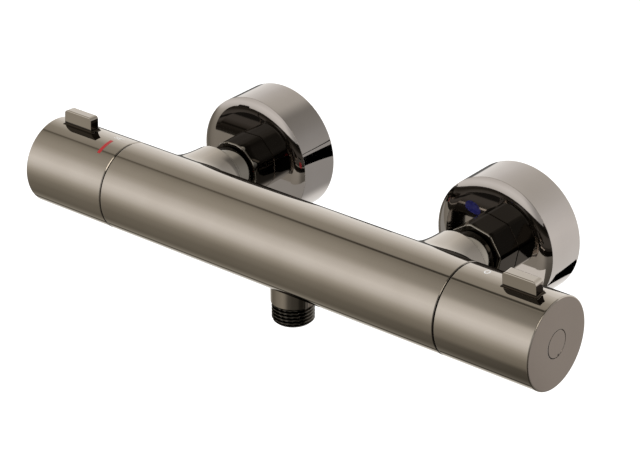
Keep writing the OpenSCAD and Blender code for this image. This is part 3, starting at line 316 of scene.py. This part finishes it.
def darkened(tree, colour, amount, limits, factor):
    """The colour times a factor where the amount passes its limits."""
    mix = tree.nodes.new("ShaderNodeMix")
    mix.data_type = "RGBA"
    mix.blend_type = "MULTIPLY"
    tree.links.new(ranged(tree, amount, *limits, 0.0, 1.0), mix.inputs["Factor"])
    tree.links.new(colour, mix.inputs[6])
    mix.inputs[7].default_value = (*factor, 1)
    return mix.outputs[2]


def facing(tree, normal):
    """The x, y and z of one of the surface's normals, true or smooth."""
    return split(tree, tree.nodes.new("ShaderNodeNewGeometry").outputs[normal])


def reach(tree, place, across, height):
    """How far a surface point is from a line along the bar, in metres. The line's place is in
    millimetres from the bar's axis."""
    shift = (0, (WALL - across) * MM, (OFFSET - height) * MM)
    away = vector(tree, "ADD", place, shift)[0]
    flat = vector(tree, "MULTIPLY", away, (0, 1, 1))[0]
    return vector(tree, "LENGTH", flat)["Value"]


def shaded(tree, colour, place, ends=None, shade=None, foot=None, rim=None):
    """The colour with the painted shade in the darker places that a finish asks for, each with its
    own factor.
    """
    if ends:
        # Faces square to the bar get painted shade, darker by its factor
        square = number(tree, "ABSOLUTE", facing(tree, "True Normal")[0])
        colour = darkened(tree, colour, square, (SQUARE_FROM, SQUARE_FULL), ends)
    if shade:
        # Faces that look along one axis, by how much they do, are in shade
        axis, limits, factor = shade
        colour = darkened(tree, colour, facing(tree, "Normal")[axis], limits, factor)
    if foot:
        # The fin's foot holds shade, between the bar's outside and a little above it
        away = reach(tree, place, 0, 0)
        over = number(tree, "GREATER_THAN", away, (BAR_R + FOOT_FROM) * MM)
        under = ranged(tree, away, (BAR_R + FOOT_FULL) * MM, (BAR_R + FOOT_GONE) * MM, 1.0, 0.0)
        colour = darkened(tree, colour, number(tree, "MULTIPLY", over, under), (0, 1), foot)
    if rim:
        # The plug's rim gets painted shade on its front side, and its small notch gets painted
        # shade too
        for line, limits in PLUG_PLACES:
            away = reach(tree, place, *line)
            colour = darkened(tree, colour, away, [limit * MM for limit in limits], rim)
    return colour


# Noise of the finishes: scale and detail of the broad one, detail of the fine one, and the parts
# of their values that colour and roughness use
BROAD_SCALE, BROAD_DETAIL, FINE_DETAIL = 45, 3, 4
COLOUR_PART, ROUGH_PART = (0.3, 0.7), (0.25, 0.75)
RELIEF_DEPTH = 0.00002
BEVEL_SAMPLES = 6


def noise_of(tree, where, scale, detail):
    node = tree.nodes.new("ShaderNodeTexNoise")
    node.inputs["Scale"].default_value = scale
    node.inputs["Detail"].default_value = detail
    tree.links.new(where, node.inputs["Vector"])
    return node.outputs[0]


def surface(name, light, dark, metallic, rough, grain, bump, stretch=(1, 1, 1), edge=0.0,
            **dark_places):
    """A finish whose colour, roughness and fine relief vary with noise at a given grain size in
    millimetres. Its edges can look rounded, by a radius in millimetres."""
    material, tree = new_material(name)
    link = tree.links.new
    place = tree.nodes.new("ShaderNodeTexCoord").outputs["Object"]
    mapping = tree.nodes.new("ShaderNodeMapping")
    mapping.inputs["Scale"].default_value = stretch
    link(place, mapping.inputs[0])
    broad = noise_of(tree, place, BROAD_SCALE, BROAD_DETAIL)
    fine = noise_of(tree, mapping.outputs[0], 1 / (grain * MM), FINE_DETAIL)
    ramp = tree.nodes.new("ShaderNodeValToRGB")
    for stop, position, colour in zip(ramp.color_ramp.elements, COLOUR_PART, (dark, light)):
        stop.position = position
        stop.color = (*colour, 1)
    link(broad, ramp.inputs[0])
    relief = tree.nodes.new("ShaderNodeBump")
    relief.inputs["Strength"].default_value = bump
    relief.inputs["Distance"].default_value = RELIEF_DEPTH
    link(fine, relief.inputs["Height"])
    if edge:
        soft = tree.nodes.new("ShaderNodeBevel")
        soft.samples = BEVEL_SAMPLES
        soft.inputs["Radius"].default_value = edge * MM
        link(soft.outputs[0], relief.inputs["Normal"])
    skin = tree.nodes.new("ShaderNodeBsdfPrincipled")
    skin.inputs["Metallic"].default_value = metallic
    link(shaded(tree, ramp.outputs[0], place, **dark_places), skin.inputs["Base Color"])
    link(ranged(tree, fine, *ROUGH_PART, *rough), skin.inputs["Roughness"])
    link(relief.outputs[0], skin.inputs["Normal"])
    close_material(tree, skin.outputs[0])
    return material


# Finishes. Grain and edge are in millimetres. Ends, shade, foot and rim are the factors of the
# painted shade in the darker places; a shade also has its axis and limits.
NICKEL = dict(light=(0.56, 0.505, 0.45), dark=(0.53, 0.475, 0.42), metallic=1, rough=(0.03, 0.06),
              grain=0.12, bump=0.03)
ALONG_BAR, ACROSS_BAR = (1, 0.05, 0.05), (0.05, 1, 1)
# The factor of the painted shade on faces square to the bar
END_SHADE = (0.4, 0.365, 0.35)
NECK_SHADE = (0, (0.2, 0.6), (0.5, 0.5, 0.5))
DARK_NICKEL = dict(light=(0.34, 0.31, 0.27), dark=(0.31, 0.28, 0.245), metallic=1,
                   rough=(0.02, 0.05), grain=0.3, bump=0.02, edge=0.25)
FINISHES = {
    "satin_nickel": dict(NICKEL, stretch=ALONG_BAR, edge=0.45, ends=END_SHADE, shade=NECK_SHADE),
    "flare_nickel": dict(NICKEL, stretch=ALONG_BAR, shade=NECK_SHADE),
    "handle_nickel": dict(NICKEL, stretch=ALONG_BAR, edge=0.3, ends=END_SHADE, foot=(0.07, 0.06, 0.05)),
    "plug_nickel": dict(NICKEL, stretch=ACROSS_BAR, ends=END_SHADE, rim=(0.12, 0.1, 0.08)),
    "cover_nickel": dict(light=(0.53, 0.485, 0.46), dark=(0.5, 0.455, 0.43), metallic=1,
                         rough=(0.02, 0.05), grain=0.12, bump=0.02, edge=0.3),
    "polished_nickel": DARK_NICKEL,
    "nut_nickel": dict(DARK_NICKEL, shade=(0, (0.75, 0.95), (0.09, 0.085, 0.08))),
    "thread_nickel": dict(light=(0.15, 0.135, 0.12), dark=(0.12, 0.11, 0.098), metallic=1,
                          rough=(0.06, 0.12), grain=0.3, bump=0.05),
    "bare_brass": dict(light=(0.75, 0.57, 0.29), dark=(0.66, 0.48, 0.22), metallic=1,
                       rough=(0.25, 0.4), grain=0.3, bump=0.3),
    "stainless_steel": dict(light=(0.62, 0.61, 0.6), dark=(0.52, 0.51, 0.5), metallic=1,
                            rough=(0.2, 0.32), grain=0.2, bump=0.2),
    "black_rubber": dict(light=(0.03, 0.03, 0.03), dark=(0.018, 0.018, 0.018), metallic=0,
                         rough=(0.55, 0.75), grain=0.25, bump=0.5),
    "white_plastic": dict(light=(0.8, 0.8, 0.77), dark=(0.74, 0.74, 0.71), metallic=0,
                          rough=(0.35, 0.5), grain=0.4, bump=0.2),
    "black_plastic": dict(light=(0.035, 0.035, 0.04), dark=(0.02, 0.02, 0.024), metallic=0,
                          rough=(0.4, 0.55), grain=0.3, bump=0.3),
    "red_plastic": dict(light=(0.5, 0.02, 0.02), dark=(0.4, 0.014, 0.016), metallic=0,
                        rough=(0.2, 0.3), grain=0.5, bump=0.1),
    "red_paint": dict(light=(0.5, 0.025, 0.03), dark=(0.42, 0.018, 0.022), metallic=0,
                      rough=(0.3, 0.4), grain=0.4, bump=0.1),
    "white_paint": dict(light=(0.97, 0.97, 0.96), dark=(0.94, 0.94, 0.93), metallic=0,
                        rough=(0.35, 0.5), grain=0.4, bump=0.1),
    "blue_paint": dict(light=(0.025, 0.03, 0.28), dark=(0.02, 0.024, 0.24), metallic=0,
                       rough=(0.3, 0.4), grain=0.4, bump=0.1),
    "disc_ceramic": dict(light=(0.83, 0.79, 0.72), dark=(0.78, 0.74, 0.67), metallic=0,
                         rough=(0.12, 0.2), grain=0.2, bump=0.1),
}
# CAD nodes whose finish isn't their slot's own
FINISH_OF = {"temperature_end_plug": "plug_nickel", "flow_end_plug": "plug_nickel",
             "hot_escutcheon": "cover_nickel", "cold_escutcheon": "cover_nickel"}


def give_finishes():
    for name, node in nodes.items():
        node.data.materials.clear()
        node.data.materials.append(materials[FINISH_OF.get(name, slot_of[name])])


# Cards that only reflections see, as (name, corners, colour, strength): the lit ones glow as
# painted reflections of light, the black ones are painted reflections of shade
LIT, BLACK = (1, 0.98, 0.92, 1), (0, 0, 0, 1)
CARDS = [
    ("left_under_card", [(-120, 30, -24), (15, 30, -24), (15, 44, -75), (-120, 44, -75)],
     LIT, 0.42),
    ("right_under_card", [(15, 30, -24), (110, 30, -24), (110, 44, -75), (15, 44, -75)],
     LIT, 0.95),
    ("right_dark_card", [(103, 100, -26), (114, 100, -19), (116, 100, -36), (105, 100, -48)],
     BLACK, 0),
    ("left_dark_card", [(-31, 100, -2), (-31, 100, 9.5), (-4, 100, 10), (-4, 100, -5)],
     BLACK, 0),
    ("left_dark_strip", [(-38, 100, 12.6), (-38, 100, 13.6), (-4, 100, 15), (-4, 100, 14)],
     BLACK, 0),
]


def make_cards():
    for name, corners, colour, strength in CARDS:
        mesh = bpy.data.meshes.new(name)
        mesh.from_pydata([at_bar(*corner) for corner in corners], [], [(0, 1, 2, 3)])
        card = linked(name, mesh)
        material, tree = new_material(name)
        close_material(tree, shader(tree, "ShaderNodeEmission", colour, strength))
        mesh.materials.append(material)
        for ray in ("camera", "diffuse", "shadow", "transmission", "volume_scatter"):
            setattr(card, "visible_" + ray, False)


# Pieces. Their points are in millimetres from the middle of the bar's axis. Points and edges that
# are smaller than the first two, in metres, are joined, and edges stay sharp beyond an angle.
SAME_POINT, NO_LENGTH = 1e-7, 1e-8
SHARP_DEGREES, NUT_SHARP_DEGREES = 35, 12


def finish_mesh(mesh, sharp):
    """Joins doubled points, turns the faces outwards and smooths the edges that aren't sharp."""
    work = bmesh.new()
    work.from_mesh(mesh)
    bmesh.ops.remove_doubles(work, verts=work.verts, dist=SAME_POINT)
    bmesh.ops.dissolve_degenerate(work, dist=NO_LENGTH, edges=work.edges)
    bmesh.ops.recalc_face_normals(work, faces=work.faces)
    work.to_mesh(mesh)
    work.free()
    mesh.shade_smooth()
    mesh.set_sharp_from_angle(angle=math.radians(sharp))


def add_piece(name, points, faces, finish, body, sharp=SHARP_DEGREES):
    mesh = bpy.data.meshes.new(name)
    mesh.from_pydata([at_bar(*point) for point in points], [], faces)
    finish_mesh(mesh, sharp)
    mesh.materials.append(materials[finish])
    piece = linked(name, mesh)
    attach(piece, body)
    return piece


def turned(rows, segments):
    """A closed ring of rows turned around an axis. A row is a height and a radius, or a function
    that gives the radius by the turn. The axis comes last in the points."""
    points, faces = [], []
    for height, radius in rows:
        for k in range(segments):
            turn = k / segments
            angle = 2 * math.pi * turn
            r = radius(turn) if callable(radius) else radius
            points.append((r * math.cos(angle), r * math.sin(angle), height))
    for i in range(len(rows)):
        j = (i + 1) % len(rows)
        for k in range(segments):
            m = (k + 1) % segments
            faces.append((i * segments + k, i * segments + m, j * segments + m, j * segments + k))
    return points, faces


def polygon(sides, flats, vertex, inset=0.0, rounding=0.0):
    """The radius of a flat-sided outline by the turn, moved in by an inset, with one corner at
    the vertex's angle and all corners slightly rounded."""
    half = 180 / sides
    apothem = flats / 2 - inset
    corner = apothem / math.cos(math.radians(half)) - rounding

    def radius(turn):
        around = (turn * 360 - vertex) % (2 * half) - half
        return min(apothem / math.cos(math.radians(around)), corner)
    return radius


# Segments around the pieces. A flat-sided outline needs a multiple of its number of sides.
OUTLET_SEGMENTS, NUT_SEGMENTS, WALL_THREAD_SEGMENTS = 120, 144, 96
# G 1/2 thread, in millimetres: pitch, outer radius, depth, the step between its rows, the length
# over which it rises, and how much its crests and roots are flattened
PITCH = 1.814
THREAD_R = 10.4775
THREAD_DEPTH = 1.162
ROW_STEP = 0.09
LEAD_LENGTH = 0.9
FLATTENED = 1.25


def thread_rows(start, end, chamfer):
    """Rows of a helical thread from start to end, with a chamfered far end."""
    rows = []
    count = round((end - start) / ROW_STEP)
    for i in range(count + 1):
        height = start + (end - start) * i / count

        def radius(turn, height=height):
            wave = 0.5 + 0.5 * math.cos(2 * math.pi * (height / PITCH + turn))
            wave = min(1.0, max(0.0, (wave - 0.5) * FLATTENED + 0.5))
            lead = min(1.0, (height - start) / LEAD_LENGTH)
            full = THREAD_R - THREAD_DEPTH * (1 - wave * lead)
            return min(full, THREAD_R - max(0.0, chamfer - (end - height)))
        rows.append((height, radius))
    return rows


def make_outlet():
    """A threaded nipple with a shank in the body, a bore and a six-sided socket for a key."""
    start, end, shank_length, key_depth, mouth_chamfer = 29.0, 39.0, 8, 6, 0.3
    bore, shank, mouth, key = 6.5, 8.5, 7.9, polygon(sides=6, flats=14.0, vertex=30)
    rows = [(start - shank_length, bore), (start - shank_length, shank), (start, shank),
            (start, THREAD_R - THREAD_DEPTH)]
    rows += thread_rows(start, end, chamfer=1.2)[1:]
    rows += [(end, mouth), (end - mouth_chamfer, key), (end - key_depth, key),
             (end - key_depth, bore)]
    points, faces = turned(rows, OUTLET_SEGMENTS)
    points = [(OUTLET_X + x, y, -z) for x, y, z in points]
    piece = add_piece("outlet_thread", points, faces, "thread_nickel", "valve")
    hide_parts("hose_outlet")


# Union nuts: sides, size across the flats, where they start and end behind the bar's axis, the
# radii inside, and the thickness of the lip around the mouth
NUT_SIDES, NUT_FLATS, NUT_FRONT, NUT_BACK = 8, 29.5, 46.3, 61.3
NUT_MOUTH, NUT_INSIDE, NUT_LIP = 10.3, 13.32, 2.4
# Bevels as (distance from the end, inset)
FRONT_BEVEL, BACK_BEVEL = [(0, 0.6), (0.18, 0.25), (0.5, 0)], [(0.4, 0), (0, 0.4)]
BACK_ROUNDING = 0.35


def make_nut(node, side, vertex, rounding):
    """An eight-sided union nut with a fine bevel around its rim."""
    rows = [(NUT_FRONT, NUT_MOUTH)]
    rows += [(NUT_FRONT + along, polygon(NUT_SIDES, NUT_FLATS, vertex, inset, rounding))
             for along, inset in FRONT_BEVEL]
    rows += [(NUT_BACK - along, polygon(NUT_SIDES, NUT_FLATS, vertex, inset, BACK_ROUNDING))
             for along, inset in BACK_BEVEL]
    rows += [(NUT_BACK, NUT_INSIDE), (NUT_FRONT + NUT_LIP, NUT_INSIDE),
             (NUT_FRONT + NUT_LIP, NUT_MOUTH)]
    points, faces = turned(rows, NUT_SEGMENTS)
    points = [(side * INLET_X + x, z, -y) for x, y, z in points]
    piece = add_piece(node + "_dressed", points, faces, "nut_nickel", "valve",
                      NUT_SHARP_DEGREES)
    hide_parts(node)


# Wall ends of the offset unions, in millimetres: the radii between which faces are cut away, how
# far in front of the wall that starts, and the thread that takes their place
CUT_R_LOW, CUT_R_HIGH, CUT_FRONT = 9.2, 10.6, 2.05
WALL_THREAD_START, WALL_THREAD_END, WALL_THREAD_BORE = -2, 13, 8.8


def make_union(node, side):
    """The union's own mesh with its smooth wall end cut away and a threaded one in its place."""
    mesh = nodes[node].data.copy()
    work = bmesh.new()
    work.from_mesh(mesh)
    gone = []
    for face in work.faces:
        radii = [math.hypot(v.co.x - side * INLET_X * MM, v.co.z) for v in face.verts]
        behind = all(v.co.y > -CUT_FRONT * MM for v in face.verts)
        if behind and min(radii) > CUT_R_LOW * MM and max(radii) < CUT_R_HIGH * MM:
            gone.append(face)
    bmesh.ops.delete(work, geom=gone, context="FACES")
    work.to_mesh(mesh)
    work.free()
    mesh.materials.clear()
    mesh.materials.append(materials["bare_brass"])
    shell = linked(node + "_dressed", mesh)
    start, end = WALL + WALL_THREAD_START, WALL + WALL_THREAD_END
    rows = [(start, WALL_THREAD_BORE)] + thread_rows(start, end, chamfer=1.0)
    points, faces = turned(rows + [(end, WALL_THREAD_BORE)], WALL_THREAD_SEGMENTS)
    points = [(side * INLET_X + x, z, OFFSET + y) for x, y, z in points]
    add_piece(node + "_thread", points, faces, "bare_brass", "valve")
    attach(shell, "valve")
    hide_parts(node)


# The radius of the handle's outer edge in the CAD and here, and how far above the bar the fin
# starts, in millimetres. The tolerance is in metres.
EDGE_WAS, EDGE_NOW, FIN_FROM = 1.5, 0.7, 0.2
EDGE_TOLERANCE = 1e-6


def make_handle(node, body, side, lean):
    """The handle's own mesh with a tighter outer edge and its corner normals kept, which lean by
    some degrees on the fin."""
    mesh = nodes[node].data.copy()
    normals = [corner.vector.copy() for corner in mesh.corner_normals]
    end, outside, was, now = HANDLE_END * MM, BAR_R * MM, EDGE_WAS * MM, EDGE_NOW * MM
    for vertex in mesh.vertices:
        x = side * vertex.co.x
        y, z = vertex.co.y + WALL * MM, vertex.co.z + OFFSET * MM
        r = math.hypot(y, z)
        if x > end - was - EDGE_TOLERANCE and r > outside - was - EDGE_TOLERANCE:
            new_x = end - now + (x - end + was) * now / was
            new_r = outside - now + (r - outside + was) * now / was
            vertex.co = (side * new_x, y * new_r / r - WALL * MM, z * new_r / r - OFFSET * MM)
    turn = Matrix.Rotation(math.radians(lean), 3, "X")
    for i, loop in enumerate(mesh.loops):
        place = nodes[node].data.vertices[loop.vertex_index].co
        if math.hypot(place.y + WALL * MM, place.z + OFFSET * MM) > (BAR_R + FIN_FROM) * MM:
            normals[i] = turn @ normals[i]
    mesh.normals_split_custom_set(normals)
    mesh.materials.clear()
    mesh.materials.append(materials["handle_nickel"])
    piece = linked(node + "_dressed", mesh)
    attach(piece, body)
    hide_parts(node)


# Painted marks lie on the bar's outside, where degrees go from the front up over the top. Their
# skirts reach a little below it.
PER_DEGREE = BAR_R * math.pi / 180
SKIRT, PAINT, DOT_PAINT = -0.03, 0.04, 0.06


def on_outside(x, degrees, lift):
    angle = math.radians(degrees)
    return (x, -(BAR_R + lift) * math.cos(angle), (BAR_R + lift) * math.sin(angle))


def stroke(path, width, closed=False):
    """A flat painted stroke along (x, degrees) points, with a low skirt."""
    points, faces = [], []
    flat = [(x, d * PER_DEGREE) for x, d in path]
    count = len(flat)
    for i, (x, u) in enumerate(flat):
        before = flat[(i - 1) % count] if closed or i else flat[i]
        after = flat[(i + 1) % count] if closed or i < count - 1 else flat[i]
        dx, du = after[0] - before[0], after[1] - before[1]
        length = math.hypot(dx, du)
        nx, nu = -du / length * width / 2, dx / length * width / 2
        for sign, lift in ((1, SKIRT), (1, PAINT), (-1, PAINT), (-1, SKIRT)):
            points.append(on_outside(x + sign * nx, (u + sign * nu) / PER_DEGREE, lift))
    for i in range(count if closed else count - 1):
        a, b = 4 * i, 4 * ((i + 1) % count)
        for k in range(3):
            faces.append((a + k, b + k, b + k + 1, a + k + 1))
    return points, faces


def arc(x, degrees, half_width, half_height, start, end, steps):
    """Points of an oval arc around (x, degrees). Its angles start from +x."""
    path = []
    for i in range(steps + 1):
        t = math.radians(start + (end - start) * i / steps)
        path.append((x + half_width * math.cos(t), degrees + half_height * math.sin(t)))
    return path


def joined(strokes):
    points, faces = [], []
    for more, sides in strokes:
        base = len(points)
        points += more
        faces += [tuple(base + k for k in face) for face in sides]
    return points, faces


# Marks as (name, strokes, finish, body, slot). A stroke is its points, its width and whether it
# closes.
FIGURE, RING = 0.34, 0.26
MARKS = [
    ("temperature_mark_line", [([(-112.5, 59 + i) for i in range(28)], 1.9, False)],
     "red_paint", "temperature_handle", "red_plastic"),
    # The figures 3 and 8 and the degree sign
    ("temperature_figure", [(arc(-113.6, 97.9, 0.75, 1.35, 150, -90, 12), FIGURE, False),
                            (arc(-113.6, 95.2, 0.85, 1.45, 90, -150, 12), FIGURE, False),
                            (arc(-111.2, 97.9, 0.7, 1.3, 0, 350, 18), FIGURE, True),
                            (arc(-111.2, 95.2, 0.85, 1.4, 0, 350, 18), FIGURE, True),
                            (arc(-109.4, 98.6, 0.4, 0.9, 0, 345, 14), RING, True)],
     "white_paint", "temperature_handle", "white_plastic"),
    # The figure 0
    ("flow_figure", [(arc(114.5, 93, 1.1, 4.2, 0, 352, 24), 0.5, True)],
     "white_paint", "flow_handle", "white_plastic"),
]


def make_marks():
    for name, strokes, finish, body, slot in MARKS:
        points, faces = joined([stroke(*one) for one in strokes])
        add_piece(name, points, faces, finish, body)


# Flares at the necks' feet: where they start behind the bar's axis, how far they widen above and
# below and how much more at the sides, and where their hidden back lies
FLARE_START, FLARE_WIDER, FLARE_WIDER_AT_SIDES = 32.6, 2, 3.5
FLARE_BACK_IN, FLARE_BACK_OUT = 3, 4
FLARE_AROUND, FLARE_ALONG, FLARE_LIFT = 144, 16, 0.02


def make_flare(name, x):
    """The neck widens softly into the bar, along curves from the neck's outside to the bar's."""
    points, faces = [], []
    neck, bar, back = NECK_R + FLARE_LIFT, BAR_R + FLARE_LIFT, NECK_R - FLARE_BACK_IN
    for i in range(FLARE_AROUND):
        turn = 2 * math.pi * i / FLARE_AROUND
        c, s = math.cos(turn), math.sin(turn)
        foot = NECK_R + FLARE_WIDER + FLARE_WIDER_AT_SIDES * c * c
        first = Vector((neck * c, FLARE_START, neck * s))
        last = Vector((foot * c, math.sqrt(bar ** 2 - (foot * s) ** 2), foot * s))
        normal = Vector((0, last.y, last.z)).normalized()
        bend = first - Vector((0, (first - last).dot(normal) / normal.y, 0))
        for k in range(FLARE_ALONG + 1):
            t = k / FLARE_ALONG
            point = first * (1 - t) ** 2 + bend * 2 * t * (1 - t) + last * t ** 2
            points.append((x + point.x, point.y, point.z))
        points.append((x + back * c, last.y + FLARE_BACK_OUT, back * s))
    row = FLARE_ALONG + 2
    for i in range(FLARE_AROUND):
        a, b = i * row, (i + 1) % FLARE_AROUND * row
        for k in range(row):
            m = (k + 1) % row
            faces.append((a + k, a + m, b + m, b + k))
    add_piece(name, points, faces, "flare_nickel", "valve")


def make_springs():
    """Own copies of the joints' springs: baked in place where the joint's travel goes both ways,
    else riding their body.
    """
    behaviour = frame["record"]["behaviour"]
    body_of = {node: body for body, held in behaviour["bodies"].items() for node in held}
    for joint in behaviour["joints"]:
        for spring in joint.get("deforming_nodes", []):
            # The mode ends with the letter of the axis that the spring lies along
            node, letter = spring["node"], spring["mode"][-1]
            piece = linked(node + "_wire", nodes[node].data.copy())
            piece.matrix_world = nodes[node].matrix_world.copy()
            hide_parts(node)
            least, most = joint["range_m"]
            if least < 0:
                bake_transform(piece)
            else:
                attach(piece, body_of[node])
                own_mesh(piece)


# Dots on the back of the bar, with a radius in millimetres
DOT_RINGS, DOT_SEGMENTS, DOT_R = 4, 40, 4.6


def make_dot(name, x, degrees, finish):
    """A round painted dot with its skirt."""
    points, faces = [on_outside(x, degrees, DOT_PAINT)], []
    for i in range(1, DOT_RINGS + 2):
        radius = DOT_R * min(i, DOT_RINGS) / DOT_RINGS
        lift = DOT_PAINT if i <= DOT_RINGS else SKIRT
        for k in range(DOT_SEGMENTS):
            t = 2 * math.pi * k / DOT_SEGMENTS
            points.append(on_outside(x + radius * math.cos(t),
                                     degrees + radius * math.sin(t) / PER_DEGREE, lift))
    for k in range(DOT_SEGMENTS):
        m = (k + 1) % DOT_SEGMENTS
        faces.append((0, 1 + k, 1 + m))
        for i in range(DOT_RINGS):
            a, b = 1 + i * DOT_SEGMENTS, 1 + (i + 1) * DOT_SEGMENTS
            faces.append((a + k, b + k, b + m, a + m))
    add_piece(name, points, faces, finish, "valve")


make_camera()
make_world()
make_floor()
make_lamps()
materials = {name: surface(name, **values) for name, values in FINISHES.items()}
slot_of = {part["node"]: part["material_slot"] for part in frame["record"]["subparts"]}
give_finishes()
make_cards()
make_outlet()
make_nut("hot_union_nut", side=-1, vertex=21, rounding=1.0)
make_nut("cold_union_nut", side=1, vertex=34, rounding=0.35)
make_flare("hot_neck_flare", -INLET_X)
make_flare("cold_neck_flare", INLET_X)
make_union("hot_offset_union", side=-1)
make_union("cold_offset_union", side=1)
make_handle("temperature_handle", "temperature_handle", side=-1, lean=-1)
make_handle("flow_handle", "flow_handle", side=1, lean=-6)
make_marks()
make_springs()
make_dot("hot_dot", x=-36, degrees=197, finish="red_paint")
make_dot("cold_dot", x=35, degrees=202, finish="blue_paint")

bpy.context.scene.view_settings.view_transform = "Standard"
